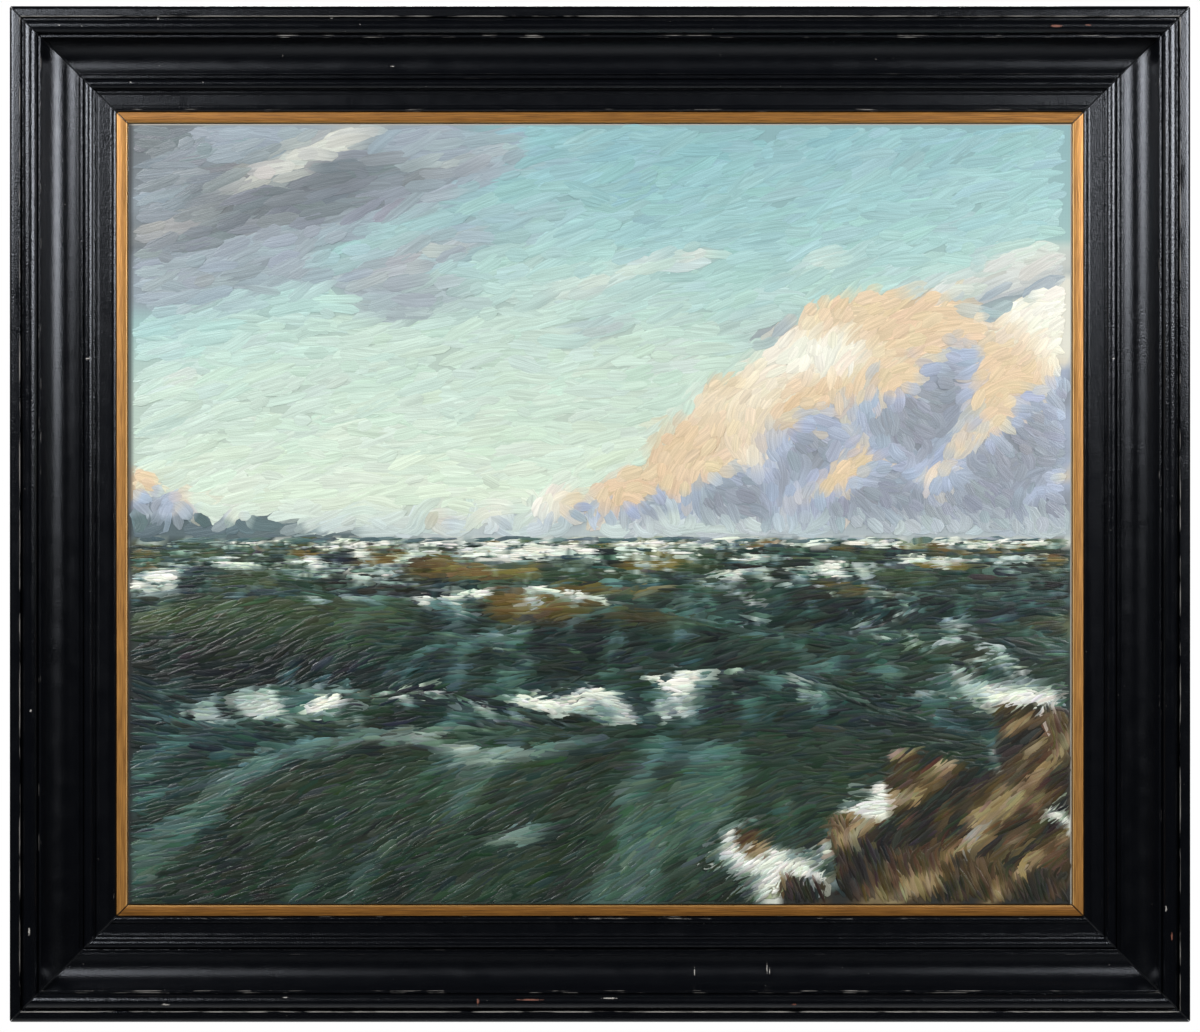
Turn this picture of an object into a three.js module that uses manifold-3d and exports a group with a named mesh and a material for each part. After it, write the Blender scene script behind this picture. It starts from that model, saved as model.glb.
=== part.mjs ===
// Framed oil painting: four mitred rails of an ebonised scoop moulding, a gilt slip inside them, and
// a canvas on a strainer that four screwed plates hold in from behind.
// Millimetres, +Z up. The picture faces -Y and the wall is the plane y = 0. The origin is the middle
// of the top rail's flat back, where the frame is hung.
import * as THREE from "three";
import { mergeVertices } from "three/addons/utils/BufferGeometryUtils.js";
import Module from "manifold-3d";

const wasm = await Module();
wasm.setup();

// Picture and the spaces round it
const CANVAS_WIDTH = 730;
const CANVAS_HEIGHT = 604;
const CLOTH = 0.6; // painted canvas, as a sheet
const GAP = 0.3; // between pieces that touch
const CANVAS_PLAY = 0.6; // between the canvas edge and the slip
const SLIP_PLAY = 0.4; // between the slip and the frame's sight edge

// Heights above the wall plane, along -Y
const LEDGE = 4; // step in the frame's back that the plates lie on
const LIP_UNDERSIDE = 18;
const CANVAS_FACE = 23;
const SLIP_FACE = 24;
const SIGHT_EDGE = 24.2;
const SCOOP_BOTTOM = 24.7;
const SCOOP_TOP = 44.2;
const FRAME_EDGE = 45; // flat of the outer band

// Widths across the moulding, from its outer edge inward
const RAIL_WIDTH = 77.5;
const LIP = 4.5;
const LEDGE_WIDTH = 15;
const SLIP_WIDTH = 8.3;
const OUTER_BAND = 8.8;
const BEAD_CENTRE = 16.4;
const BEAD_RADIUS = 5.3;
const SCOOP_START = 24.6;
const SCOOP_LOW = 41;
const SCOOP_RISE_RADIUS = 16;
const SCOOP_RISE_ANGLE = THREE.MathUtils.degToRad(29);
const ASTRAGAL_CENTRE = 56.8;
const ASTRAGAL_RADIUS = 3.7;
const BAND_START = 64.2;
const SIGHT_BEAD_START = 72.4;
const CORNER_RADIUS = 2.7; // worn outer corners of the frame
const ARC_STEPS = 10; // facets in each round stretch

// Strainer and its fastenings
const BAR_WIDTH = 45;
const BAR_LIP = 8; // flat that the canvas edge bears on
const BAR_BEVEL = 3;
const TURNOVER = 12; // canvas folded on to the strainer's back
const PLATE_WIDTH = 14;
const PLATE_THICKNESS = 1.5;
const PLATE_HOLE = 2;
const SCREW_SHANK = 1.6;
const SCREW_HEAD = 3.6;
const SCREW_HEAD_HEIGHT = 1.4;
const SCREW_LENGTH = 13;
const SLOT_WIDTH = 0.9;
const SLOT_DEPTH = 0.7;
const SCREW_SIDES = 16;

// Worked out from the above
const SLIP_INNER = RAIL_WIDTH + SLIP_PLAY + SLIP_WIDTH;
const CANVAS_EDGE = SLIP_INNER + CANVAS_PLAY;
const FRAME_WIDTH = CANVAS_WIDTH + 2 * CANVAS_EDGE;
const FRAME_HEIGHT = CANVAS_HEIGHT + 2 * CANVAS_EDGE;
const LEDGE_START = RAIL_WIDTH - LIP - LEDGE_WIDTH;
const MOUNT_DROP = LEDGE_START / 2; // from the frame's top edge down to the origin
const BAR_START = CANVAS_EDGE + CLOTH + GAP;
const BAR_BACK = LEDGE + CLOTH + GAP;
const BAR_FRONT = CANVAS_FACE - CLOTH - GAP;
const PLATE_FRONT = LEDGE - GAP;
const FRAME_SCREW = LEDGE_START + LEDGE_WIDTH / 2;
const STRAINER_SCREW = BAR_START + TURNOVER + 6;
const PLATE_CENTRE = (FRAME_SCREW + STRAINER_SCREW) / 2;
const PLATE_LENGTH = STRAINER_SCREW - FRAME_SCREW + PLATE_WIDTH;

const EBONISED = { color: 0x121317, roughness: 0.34, metalness: 0 };
const GILT = { color: 0xa37a42, roughness: 0.42, metalness: 0.25 };
const PAINT = { color: 0x7d938c, roughness: 0.45, metalness: 0 };
const PINE = { color: 0xb98f5d, roughness: 0.75, metalness: 0 };
const STEEL = { color: 0x8d8a82, roughness: 0.4, metalness: 0.9 };

// The four sides of the picture: the turn about Y that points local +Z outward, the rail's length
// along the outer edge, and the distance from the picture's middle to that edge.
const SIDES = [
  { name: "top", turn: 0, length: FRAME_WIDTH, reach: FRAME_HEIGHT / 2 },
  { name: "right", turn: Math.PI / 2, length: FRAME_HEIGHT, reach: FRAME_WIDTH / 2 },
  { name: "bottom", turn: Math.PI, length: FRAME_WIDTH, reach: FRAME_HEIGHT / 2 },
  { name: "left", turn: -Math.PI / 2, length: FRAME_HEIGHT, reach: FRAME_WIDTH / 2 },
];

function toSolid(geometry) {
  const bare = geometry.clone();
  bare.deleteAttribute("normal");
  bare.deleteAttribute("uv");
  const merged = mergeVertices(bare, 1e-4);
  const mesh = new wasm.Mesh({
    numProp: 3,
    vertProperties: new Float32Array(merged.attributes.position.array),
    triVerts: new Uint32Array(merged.index.array),
  });
  return new wasm.Manifold(mesh);
}

function toGeometry(solid) {
  const mesh = solid.getMesh();
  const geometry = new THREE.BufferGeometry();
  geometry.setAttribute("position", new THREE.BufferAttribute(mesh.vertProperties, 3));
  geometry.setIndex(new THREE.BufferAttribute(mesh.triVerts, 1));
  geometry.computeVertexNormals();
  return geometry;
}

// Section of the frame rail. x is the distance inward from the outer edge, y the height off the wall.
function railSection() {
  const section = new THREE.Shape();
  const edgeRound = 4;
  const groove = 2.6;
  const beadFoot = FRAME_EDGE - groove;
  const quirk = 1.6;
  section.moveTo(0, 0);
  section.lineTo(0, FRAME_EDGE - edgeRound);
  section.absarc(edgeRound, FRAME_EDGE - edgeRound, edgeRound, Math.PI, Math.PI / 2, true);
  section.lineTo(OUTER_BAND - 0.4, FRAME_EDGE);
  section.lineTo(OUTER_BAND, FRAME_EDGE - 0.4);
  section.lineTo(OUTER_BAND + 0.5, beadFoot);
  section.lineTo(BEAD_CENTRE - BEAD_RADIUS, beadFoot);
  section.absarc(BEAD_CENTRE, FRAME_EDGE - 1.2, BEAD_RADIUS, Math.PI, 0, true);
  section.lineTo(BEAD_CENTRE + BEAD_RADIUS, SCOOP_TOP - quirk);
  section.lineTo(BEAD_CENTRE + BEAD_RADIUS + 0.7, SCOOP_TOP - quirk);
  section.lineTo(BEAD_CENTRE + BEAD_RADIUS + 1, SCOOP_TOP);
  section.lineTo(SCOOP_START, SCOOP_TOP);
  scoop(section);
  innerMembers(section);
  section.lineTo(RAIL_WIDTH, LIP_UNDERSIDE);
  section.lineTo(RAIL_WIDTH - LIP, LIP_UNDERSIDE);
  section.lineTo(RAIL_WIDTH - LIP, LEDGE);
  section.lineTo(LEDGE_START, LEDGE);
  section.lineTo(LEDGE_START, 0);
  section.closePath();
  return section;
}

// The lopsided hollow: a deep quarter ellipse down from the arris and a shallow round rise after it.
function scoop(section) {
  const drop = SCOOP_TOP - SCOOP_BOTTOM;
  const halfWidth = SCOOP_LOW - SCOOP_START;
  const bottom = -Math.PI / 2;
  section.absellipse(SCOOP_LOW, SCOOP_TOP, halfWidth, drop, Math.PI, 3 * Math.PI / 2, false);
  section.absarc(
    SCOOP_LOW, SCOOP_BOTTOM + SCOOP_RISE_RADIUS, SCOOP_RISE_RADIUS, bottom, bottom + SCOOP_RISE_ANGLE, false,
  );
}

// From the end of the scoop to the sight edge: step, fillet, astragal, fillet, flat band, sight bead.
function innerMembers(section) {
  const scoopEnd = SCOOP_LOW + SCOOP_RISE_RADIUS * Math.sin(SCOOP_RISE_ANGLE);
  const scoopEndHeight = SCOOP_BOTTOM + SCOOP_RISE_RADIUS * (1 - Math.cos(SCOOP_RISE_ANGLE));
  const astragalStart = ASTRAGAL_CENTRE - ASTRAGAL_RADIUS;
  const astragalHeight = scoopEndHeight - 1.8;
  const astragalEnd = THREE.MathUtils.degToRad(-25);
  const stepHeight = scoopEndHeight - 1.6;
  const quirkHeight = astragalHeight - 0.6;
  const filletHeight = astragalHeight - 1.2;
  const sightRound = 1.6;
  section.lineTo(scoopEnd + 0.5, scoopEndHeight);
  section.lineTo(scoopEnd + 0.8, stepHeight);
  section.lineTo(astragalStart - 1.5, stepHeight);
  section.lineTo(astragalStart - 1.2, scoopEndHeight - 0.5);
  section.lineTo(astragalStart - 0.6, scoopEndHeight - 0.6);
  section.lineTo(astragalStart - 0.3, quirkHeight);
  section.lineTo(astragalStart, quirkHeight);
  section.absarc(ASTRAGAL_CENTRE, astragalHeight, ASTRAGAL_RADIUS, Math.PI, astragalEnd, true);
  section.lineTo(BAND_START - 2.3, filletHeight - 1);
  section.lineTo(BAND_START - 2, filletHeight);
  section.lineTo(BAND_START - 0.4, filletHeight - 0.2);
  section.lineTo(BAND_START, filletHeight - 1.2);
  section.lineTo(SIGHT_BEAD_START, SIGHT_EDGE - 1.9);
  section.absarc(SIGHT_BEAD_START + sightRound, SIGHT_EDGE - sightRound, sightRound, Math.PI, Math.PI / 2, true);
  section.lineTo(RAIL_WIDTH - 1.4, SIGHT_EDGE - 0.3);
  section.lineTo(RAIL_WIDTH, SIGHT_EDGE - 1.5);
}

// Section of the slip: a foot that fills the rebate and a nose that shows inside the sight edge.
function slipSection() {
  const outer = RAIL_WIDTH - LIP + SLIP_PLAY;
  const nose = RAIL_WIDTH + SLIP_PLAY;
  const arris = 0.8;
  const section = new THREE.Shape();
  section.moveTo(outer, LEDGE + GAP);
  section.lineTo(outer, LIP_UNDERSIDE - GAP);
  section.lineTo(nose, LIP_UNDERSIDE - GAP);
  section.lineTo(nose, SLIP_FACE - arris);
  section.absarc(nose + arris, SLIP_FACE - arris, arris, Math.PI, Math.PI / 2, true);
  section.lineTo(SLIP_INNER - arris / 2, SLIP_FACE);
  section.lineTo(SLIP_INNER, SLIP_FACE - arris / 2);
  section.lineTo(SLIP_INNER, LEDGE + GAP);
  section.closePath();
  return section;
}

// Section of a strainer bar: flat back, and a front that falls away from the lip under the canvas.
function barSection() {
  const section = new THREE.Shape();
  section.moveTo(BAR_START, BAR_BACK);
  section.lineTo(BAR_START, BAR_FRONT);
  section.lineTo(BAR_START + BAR_LIP, BAR_FRONT);
  section.lineTo(BAR_START + BAR_WIDTH, BAR_FRONT - BAR_BEVEL);
  section.lineTo(BAR_START + BAR_WIDTH, BAR_BACK);
  section.closePath();
  return section;
}

// A length of the section with a 45 degree mitre at both ends: it runs along X, its outer edge is at
// z = 0 with the inside below it, and its back is at y = 0.
function mitredLength(section, outerLength) {
  const geometry = new THREE.ExtrudeGeometry(section, { depth: 1, bevelEnabled: false, curveSegments: ARC_STEPS });
  const position = geometry.attributes.position;
  for (let i = 0; i < position.count; i += 1) {
    const inward = position.getX(i);
    const height = position.getY(i);
    const end = position.getZ(i) - 0.5;
    const length = outerLength - 2 * inward - Math.SQRT2 * GAP;
    position.setXYZ(i, -end * length, -height, -inward);
  }
  return geometry;
}

// Everything inside the frame's rounded outline, seen from the front, set as mitredLength sets a rail.
function outlineSolid(length, breadth) {
  const r = CORNER_RADIUS;
  const x = length / 2;
  const outline = new THREE.Shape();
  outline.moveTo(-x, -breadth);
  outline.lineTo(x, -breadth);
  outline.lineTo(x, -r);
  outline.absarc(x - r, -r, r, 0, Math.PI / 2, false);
  outline.absarc(-x + r, -r, r, Math.PI / 2, Math.PI, false);
  outline.closePath();
  const depth = 2 * FRAME_EDGE;
  const geometry = new THREE.ExtrudeGeometry(outline, { depth, bevelEnabled: false, curveSegments: 4 });
  geometry.rotateX(Math.PI / 2);
  geometry.translate(0, depth / 4, 0);
  return toSolid(geometry);
}

// A round hole bored from the back at a distance inward from the outer edge.
function screwHole(inward, from, to) {
  const hole = new THREE.CylinderGeometry(SCREW_SHANK + GAP, SCREW_SHANK + GAP, to - from, 12);
  hole.translate(0, -(from + to) / 2, -inward);
  return toSolid(hole);
}

function frameRail(side) {
  const breadth = BAR_START;
  const rail = toSolid(mitredLength(railSection(), side.length)).intersect(outlineSolid(side.length, breadth));
  return toGeometry(rail.subtract(screwHole(FRAME_SCREW, LEDGE - 1, LEDGE + SCREW_LENGTH)));
}

function slip(side) {
  return mitredLength(slipSection(), side.length);
}

function strainerBar(side) {
  const bar = toSolid(mitredLength(barSection(), side.length));
  return toGeometry(bar.subtract(screwHole(STRAINER_SCREW, BAR_BACK - 1, LEDGE + SCREW_LENGTH)));
}

function blockSolid(width, height, front, back) {
  const block = new THREE.BoxGeometry(width, front - back, height);
  block.translate(0, -(front + back) / 2, 0);
  return toSolid(block);
}

// One sheet: the painted face, the turned edges and the flaps folded on to the strainer's back.
function canvas() {
  const inWidth = CANVAS_WIDTH - 2 * CLOTH;
  const inHeight = CANVAS_HEIGHT - 2 * CLOTH;
  const whole = blockSolid(CANVAS_WIDTH, CANVAS_HEIGHT, CANVAS_FACE, LEDGE);
  const hollow = blockSolid(inWidth, inHeight, CANVAS_FACE - CLOTH, LEDGE + CLOTH);
  const window = blockSolid(inWidth - 2 * TURNOVER, inHeight - 2 * TURNOVER, LEDGE + 2 * CLOTH, LEDGE - 1);
  return toGeometry(whole.subtract(hollow).subtract(window));
}

// A flat plate with round ends and a hole near each, across the frame, the slip and the strainer.
function retainingPlate() {
  const r = PLATE_WIDTH / 2;
  const reach = PLATE_LENGTH / 2 - r;
  const holeReach = (STRAINER_SCREW - FRAME_SCREW) / 2;
  const outline = new THREE.Shape();
  outline.absarc(0, reach, r, 0, Math.PI, false);
  outline.absarc(0, -reach, r, Math.PI, 2 * Math.PI, false);
  const blank = new THREE.ExtrudeGeometry(outline, {
    depth: PLATE_THICKNESS, bevelEnabled: false, curveSegments: 8,
  });
  let plate = toSolid(blank);
  for (const end of [-1, 1]) {
    const drill = new THREE.CylinderGeometry(PLATE_HOLE, PLATE_HOLE, 3 * PLATE_THICKNESS, SCREW_SIDES);
    drill.rotateX(Math.PI / 2);
    drill.translate(0, end * holeReach, PLATE_THICKNESS / 2);
    plate = plate.subtract(toSolid(drill));
  }
  const geometry = toGeometry(plate);
  geometry.rotateX(Math.PI / 2);
  geometry.translate(0, -PLATE_FRONT + PLATE_THICKNESS, -PLATE_CENTRE);
  return geometry;
}

// A slotted wood screw with a round head, driven from behind.
function screw(inward) {
  const headBack = PLATE_FRONT - PLATE_THICKNESS - GAP;
  const headRise = SCREW_HEAD_HEIGHT;
  const profile = [
    new THREE.Vector2(0, -SCREW_LENGTH),
    new THREE.Vector2(SCREW_SHANK, -SCREW_LENGTH + 3),
    new THREE.Vector2(SCREW_SHANK, 0),
    new THREE.Vector2(SCREW_HEAD, 0),
    new THREE.Vector2(SCREW_HEAD * 0.94, headRise * 0.5),
    new THREE.Vector2(SCREW_HEAD * 0.7, headRise * 0.86),
    new THREE.Vector2(0, headRise),
  ];
  const turned = toSolid(new THREE.LatheGeometry(profile, SCREW_SIDES));
  const slot = new THREE.BoxGeometry(3 * SCREW_HEAD, 2 * SLOT_DEPTH, SLOT_WIDTH);
  slot.rotateY(0.6);
  slot.translate(0, headRise, 0);
  const geometry = toGeometry(turned.subtract(toSolid(slot)));
  geometry.translate(0, -headBack, -inward);
  return geometry;
}

function part(name, geometry, material) {
  const mesh = new THREE.Mesh(geometry, new THREE.MeshStandardMaterial(material));
  mesh.name = name;
  return mesh;
}

const group = new THREE.Group();
const picture = new THREE.Group();
picture.position.set(0, 0, MOUNT_DROP - FRAME_HEIGHT / 2);
picture.add(part("canvas", canvas(), PAINT));
for (const side of SIDES) {
  const edge = new THREE.Group();
  edge.rotation.y = side.turn;
  edge.position.set(Math.sin(side.turn) * side.reach, 0, Math.cos(side.turn) * side.reach);
  edge.add(part(`frame_rail_${side.name}`, frameRail(side), EBONISED));
  edge.add(part(`slip_${side.name}`, slip(side), GILT));
  edge.add(part(`strainer_bar_${side.name}`, strainerBar(side), PINE));
  edge.add(part(`retaining_plate_${side.name}`, retainingPlate(), STEEL));
  edge.add(part(`frame_screw_${side.name}`, screw(FRAME_SCREW), STEEL));
  edge.add(part(`strainer_screw_${side.name}`, screw(STRAINER_SCREW), STEEL));
  picture.add(edge);
}
group.add(picture);

export default group;
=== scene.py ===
"""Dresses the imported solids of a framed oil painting: ebonised scoop moulding, gilt slip, stretched
canvas, thousands of raised brush strokes, pine strainer and its steel fittings. Metres, +Z up."""

import collections
import functools
import math
import bmesh
import bpy
import numpy as np
from mathutils import Matrix, Vector


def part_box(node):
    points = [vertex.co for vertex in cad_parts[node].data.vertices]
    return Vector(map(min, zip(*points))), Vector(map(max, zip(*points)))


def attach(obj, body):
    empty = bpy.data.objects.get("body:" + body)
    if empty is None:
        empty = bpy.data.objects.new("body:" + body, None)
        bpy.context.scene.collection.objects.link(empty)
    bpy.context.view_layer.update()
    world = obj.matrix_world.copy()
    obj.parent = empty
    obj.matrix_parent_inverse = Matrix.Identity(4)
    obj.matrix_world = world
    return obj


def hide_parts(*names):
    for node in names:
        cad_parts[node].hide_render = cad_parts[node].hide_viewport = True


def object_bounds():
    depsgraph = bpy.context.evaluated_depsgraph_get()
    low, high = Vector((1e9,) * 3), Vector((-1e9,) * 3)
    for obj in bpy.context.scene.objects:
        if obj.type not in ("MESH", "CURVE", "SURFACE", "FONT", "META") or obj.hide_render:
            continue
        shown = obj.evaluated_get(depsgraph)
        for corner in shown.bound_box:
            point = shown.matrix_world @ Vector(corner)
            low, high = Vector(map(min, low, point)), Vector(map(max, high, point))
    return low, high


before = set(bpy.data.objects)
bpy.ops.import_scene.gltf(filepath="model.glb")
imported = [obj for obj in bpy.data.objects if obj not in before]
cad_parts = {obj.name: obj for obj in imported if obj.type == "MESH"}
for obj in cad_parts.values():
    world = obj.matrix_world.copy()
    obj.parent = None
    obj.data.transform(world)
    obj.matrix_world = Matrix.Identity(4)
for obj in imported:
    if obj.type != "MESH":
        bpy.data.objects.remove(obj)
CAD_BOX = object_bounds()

bl_info = {
    "name": "Framed Oil Painting",
    "version": (1, 0, 0),
    "blender": (4, 5, 0),
    "location": "3D View > Sidebar > Picture",
    "description": "Moulding, slip, canvas, brushwork and fittings of a framed oil painting",
    "category": "Object",
}

MM = 0.001

# The picture and its surroundings, from the frame
CANVAS_LOW, CANVAS_HIGH = (Vector(corner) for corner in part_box("canvas"))
MIDDLE = (CANVAS_LOW + CANVAS_HIGH) / 2
CANVAS_WIDTH = CANVAS_HIGH.x - CANVAS_LOW.x
CANVAS_HEIGHT = CANVAS_HIGH.z - CANVAS_LOW.z
WIDE = CANVAS_WIDTH / CANVAS_HEIGHT
CANVAS_FACE = -CANVAS_LOW.y
CANVAS_BACK = -CANVAS_HIGH.y
FRAME_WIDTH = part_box("frame_rail_right")[1][0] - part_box("frame_rail_left")[0][0]
FRAME_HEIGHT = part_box("frame_rail_top")[1][2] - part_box("frame_rail_bottom")[0][2]
SLIP_FACE = -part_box("slip_top")[0][1]
LEDGE = CANVAS_BACK
MITRE_GAP = 0.3 * MM
ARRIS = 0.35  # radius in millimetres that wear has given the frame's sharp corners
SLIP_ARRIS = 0.3  # and the slip's
ROUND_STRETCH = math.radians(24)  # a bend gentler than this belongs to a rounded stretch
CAMERA_DROP = 1.5 * MM  # from the picture's middle down to the lens
CORNER_RADIUS = 2.7 * MM  # of the frame's outer corners, seen from the front
SHARPEST = math.radians(38)  # a moulding's faces that meet more steeply keep a crisp edge
TURN = {"top": 0, "right": math.pi / 2, "bottom": math.pi, "left": -math.pi / 2}
WAVES_TO_A_UNIT = 3.183  # bands that a wave texture of scale 1 lays over one metre
SHIFT = 2.0  # metres between neighbouring sides on the grain map, so that each has a grain of its own


def linear(value):
    """The linear colour, with full alpha, of an sRGB hex value such as 0x336699."""
    parts = [(value >> shift & 255) / 255 for shift in (16, 8, 0)]
    return *(c / 12.92 if c <= 0.04045 else ((c + 0.055) / 1.055) ** 2.4 for c in parts), 1.0


def put(tree, kind, inputs=None, **properties):
    """Adds a node, sets its properties, fills its inputs. A node as an input stands for its first output."""
    made = tree.nodes.new(kind)
    for name, value in properties.items():
        setattr(made, name, value)
    for key, value in (inputs or {}).items():
        if isinstance(value, bpy.types.Node):
            value = next(output for output in value.outputs if output.enabled)
        if isinstance(value, bpy.types.NodeSocket):
            tree.links.new(value, made.inputs[key])
        else:
            made.inputs[key].default_value = value
    return made


def colour(name, description, value):
    return bpy.props.FloatVectorProperty(
        name=name, description=description, subtype="COLOR", size=4, min=0, max=1, default=linear(value)
    )


def amount(name, description, value, unit="LENGTH"):
    return bpy.props.FloatProperty(name=name, description=description, default=value, unit=unit, precision=5)


# ---------------------------------------------------------------- settings


class MouldingSettings(bpy.types.PropertyGroup):
    black: colour("Black", "Stain of the ebonised moulding", 0x06070A)
    undercoat: colour("Undercoat", "Red-brown ground that shows where the black is chipped", 0x6E4130)
    bare_wood: colour("Bare wood", "Unfinished wood of the frame's back", 0x8A6B49)
    gilding: colour("Gilding", "Bronze-powder gilding of the slip", 0xC08A46)
    waviness: amount("Waviness", "How far planed surfaces wander", 0.06 * MM)
    dent_depth: amount("Dent depth", "Depth of the knocks along the arrises", 0.35 * MM)


class PaintingSettings(bpy.types.PropertyGroup):
    seed: bpy.props.IntProperty(name="Seed", description="Start of the random draws", default=7, min=0)
    horizon: bpy.props.FloatProperty(
        name="Horizon", description="Height of the horizon as a share of the picture", default=0.47,
        min=0, max=1, subtype="FACTOR",
    )
    broad: amount("Broad brush", "Width of the widest brush", 15 * MM)
    medium: amount("Middle brush", "Width of the middle brush", 9 * MM)
    small: amount("Small brush", "Width of the small brush", 4.5 * MM)
    fine: amount("Fine brush", "Width of the rigger that sets the lights", 2.4 * MM)


class StageSettings(bpy.types.PropertyGroup):
    camera_distance: amount("Camera distance", "From the lens to the slip's face", 1.775)
    view_width: amount("View width", "Width seen in the plane of the slip's face", 0.9277)
    floor_drop: amount("Floor drop", "From the frame's lower edge down to the floor", 1.2)
    key_power: amount("Side lights", "Power of each big softbox", 22, "POWER")
    back_power: amount("Back light", "Power of the soft light behind the wall side", 30, "POWER")
    fill_power: amount("Front light", "Power of the soft front light", 0.2, "POWER")


# ---------------------------------------------------------------- profiles
# Where the frame is rubbed and how polished it is: from and to, in millimetres in from its edge, and value.
# The rubbing on the frame's outer band arris and on the slip's edges is partly a painted highlight.
FRAME_WEAR_AND_HIGHLIGHT = [(8, 9.3, 1.0), (22, 25, 0.3), (71, 78, 0.12)]
FRAME_POLISH = [
    (-1, 9.2, 0.85), (9.2, 22.6, 1.0), (22.6, 50, 0.75), (50, 62, 0.95), (62, 72.3, 0.75), (72.3, 78, 1.0),
]
SLIP_WEAR_AND_HIGHLIGHT = [(73, 79.5, 0.8), (85, 87, 0.8)]
SLIP_POLISH = [(70, 90, 0.5)]
ELSEWHERE_WORN, ELSEWHERE_POLISHED = 0.03, 0.5
LIP_UNDERSIDE = 18  # millimetres off the wall, of the lip that holds the slip


def arc(centre, radius, start, end, steps=14):
    """Points on an arc or, with a pair of radii, an ellipse. Angles in degrees."""
    across, up = radius if isinstance(radius, tuple) else (radius, radius)
    angles = np.radians(np.linspace(start, end, steps))
    return [(centre[0] + across * math.cos(a), centre[1] + up * math.sin(a)) for a in angles]


def frame_profile():
    """The frame moulding in millimetres: distance inward from the outer edge, height off the wall."""
    scoop_low, scoop_top, scoop_bottom, scoop_start = 41, 44.2, 24.7, 24.6
    rise, rise_angle = 16, 29
    end = scoop_low + rise * math.sin(math.radians(rise_angle))
    end_height = scoop_bottom + rise * (1 - math.cos(math.radians(rise_angle)))
    astragal, astragal_radius = 56.8, 3.7
    foot = astragal - astragal_radius
    astragal_height = end_height - 1.8
    fillet = end_height - 3
    band, sight_start, sight, width = 64.2, 72.4, 24.2, 77.5
    points = [(0, 0)]
    points += arc((4, 41), 4, 180, 90)
    points += [(8.4, 45), (8.8, 44.6), (9.3, 42.4), (11.1, 42.4)]
    points += arc((16.4, 43.8), 5.3, 180, 0, 28)
    points += [(21.7, 42.6), (22.4, 42.6), (22.7, scoop_top)]
    points += arc((scoop_low, scoop_top), (scoop_low - scoop_start, scoop_top - scoop_bottom), 180, 270, 34)
    points += arc((scoop_low, scoop_bottom + rise), rise, -90, -90 + rise_angle, 14)[1:]
    points += [(end + 0.5, end_height), (end + 0.8, end_height - 1.6), (foot - 1.5, end_height - 1.6)]
    points += [(foot - 1.2, end_height - 0.5), (foot - 0.6, end_height - 0.6)]
    points += [(foot - 0.3, astragal_height - 0.6), (foot, astragal_height - 0.6)]
    points += arc((astragal, astragal_height), astragal_radius, 180, -25, 26)
    points += [(band - 2.3, fillet - 1), (band - 2, fillet), (band - 0.4, fillet - 0.2), (band, fillet - 1.2)]
    points += [(sight_start, sight - 1.9)]
    points += arc((sight_start + 1.6, sight - 1.6), 1.6, 180, 90, 8)
    points += [(width - 1.4, sight - 0.3), (width, sight - 1.5), (width, LIP_UNDERSIDE)]
    points += [(73, LIP_UNDERSIDE), (73, 4), (58, 4), (58, 0)]
    return points


def slip_profile():
    """The slip in millimetres: a foot in the frame's rebate and a nose inside its sight edge."""
    outer, nose, inner, face = 73.4, 77.9, 86.2, 24
    points = [(outer, 4.3), (outer, 17.7), (nose, 17.7)]
    points += arc((nose + 0.8, face - 1.2), 0.8, 180, 100, 6)
    points += [(nose + 2.4, face - 0.12), (nose + 4.1, face), (nose + 5.9, face - 0.12)]
    points += [(inner - 0.5, face - 0.4), (inner, face - 0.8), (inner, 4.3)]
    return points


def softened(points, radius):
    """The closed outline with its corners rounded, and 1 on each point of an outward corner, else 0."""
    count = len(points)
    outline, exposed = [], []
    for i, point in enumerate(points):
        here = Vector(point)
        before = Vector(points[i - 1]) - here
        after = Vector(points[(i + 1) % count]) - here
        if math.pi - before.angle(after) < ROUND_STRETCH:
            outline.append(tuple(here))
            exposed.append(0.0)
            continue
        outward = before.x * after.y - before.y * after.x > 0
        cut = min(radius, 0.4 * before.length, 0.4 * after.length)
        first, last = here + before.normalized() * cut, here + after.normalized() * cut
        rounded = [(first, outward), (here * 0.5 + (first + last) * 0.25, outward), (last, outward)]
        # a point a little way off each corner keeps wear close to the corner
        if before.length > 4 * cut:
            rounded.insert(0, (here + before.normalized() * 1.8 * cut, False))
        if after.length > 4 * cut:
            rounded.append((here + after.normalized() * 1.8 * cut, False))
        for corner, worn in rounded:
            outline.append(tuple(corner))
            exposed.append(float(worn))
    return outline, exposed


def laid_out(points, radius):
    """The softened section from its hidden seam on: places, outward corners, and distance round it."""
    outline, exposed = softened(points, radius)
    # the seam lies at the inmost corner of the back
    start = max(range(len(outline)), key=lambda i: outline[i][0] - 3 * outline[i][1])
    order = [(start - i) % len(outline) for i in range(len(outline))]
    outline, exposed = [outline[i] for i in order], [exposed[i] for i in order]
    girth = [0.0]
    for i in range(1, len(outline)):
        girth.append(girth[-1] + math.dist(outline[i - 1], outline[i]))
    return outline, exposed, girth


def frame_girth(inset):
    """Distance round the frame's section, in millimetres, to the face that is this far in."""
    outline, _, girth = laid_out(frame_profile(), ARRIS)
    face = [i for i, (_, height) in enumerate(outline) if height > LIP_UNDERSIDE + 1]
    return girth[min(face, key=lambda i: abs(outline[i][0] - inset))]


def store(mesh, name, kind, values):
    """Stores one value, vector or colour for each point of the mesh."""
    field = {"FLOAT": "value", "FLOAT_VECTOR": "vector", "FLOAT_COLOR": "color"}[kind]
    flat = np.asarray(values, np.float32).reshape(-1)
    mesh.attributes.new(name, kind, "POINT").data.foreach_set(field, flat)


def linked(name, data):
    """A new object that shows the data, in the scene."""
    made = bpy.data.objects.new(name, data)
    bpy.context.scene.collection.objects.link(made)
    return made


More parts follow.
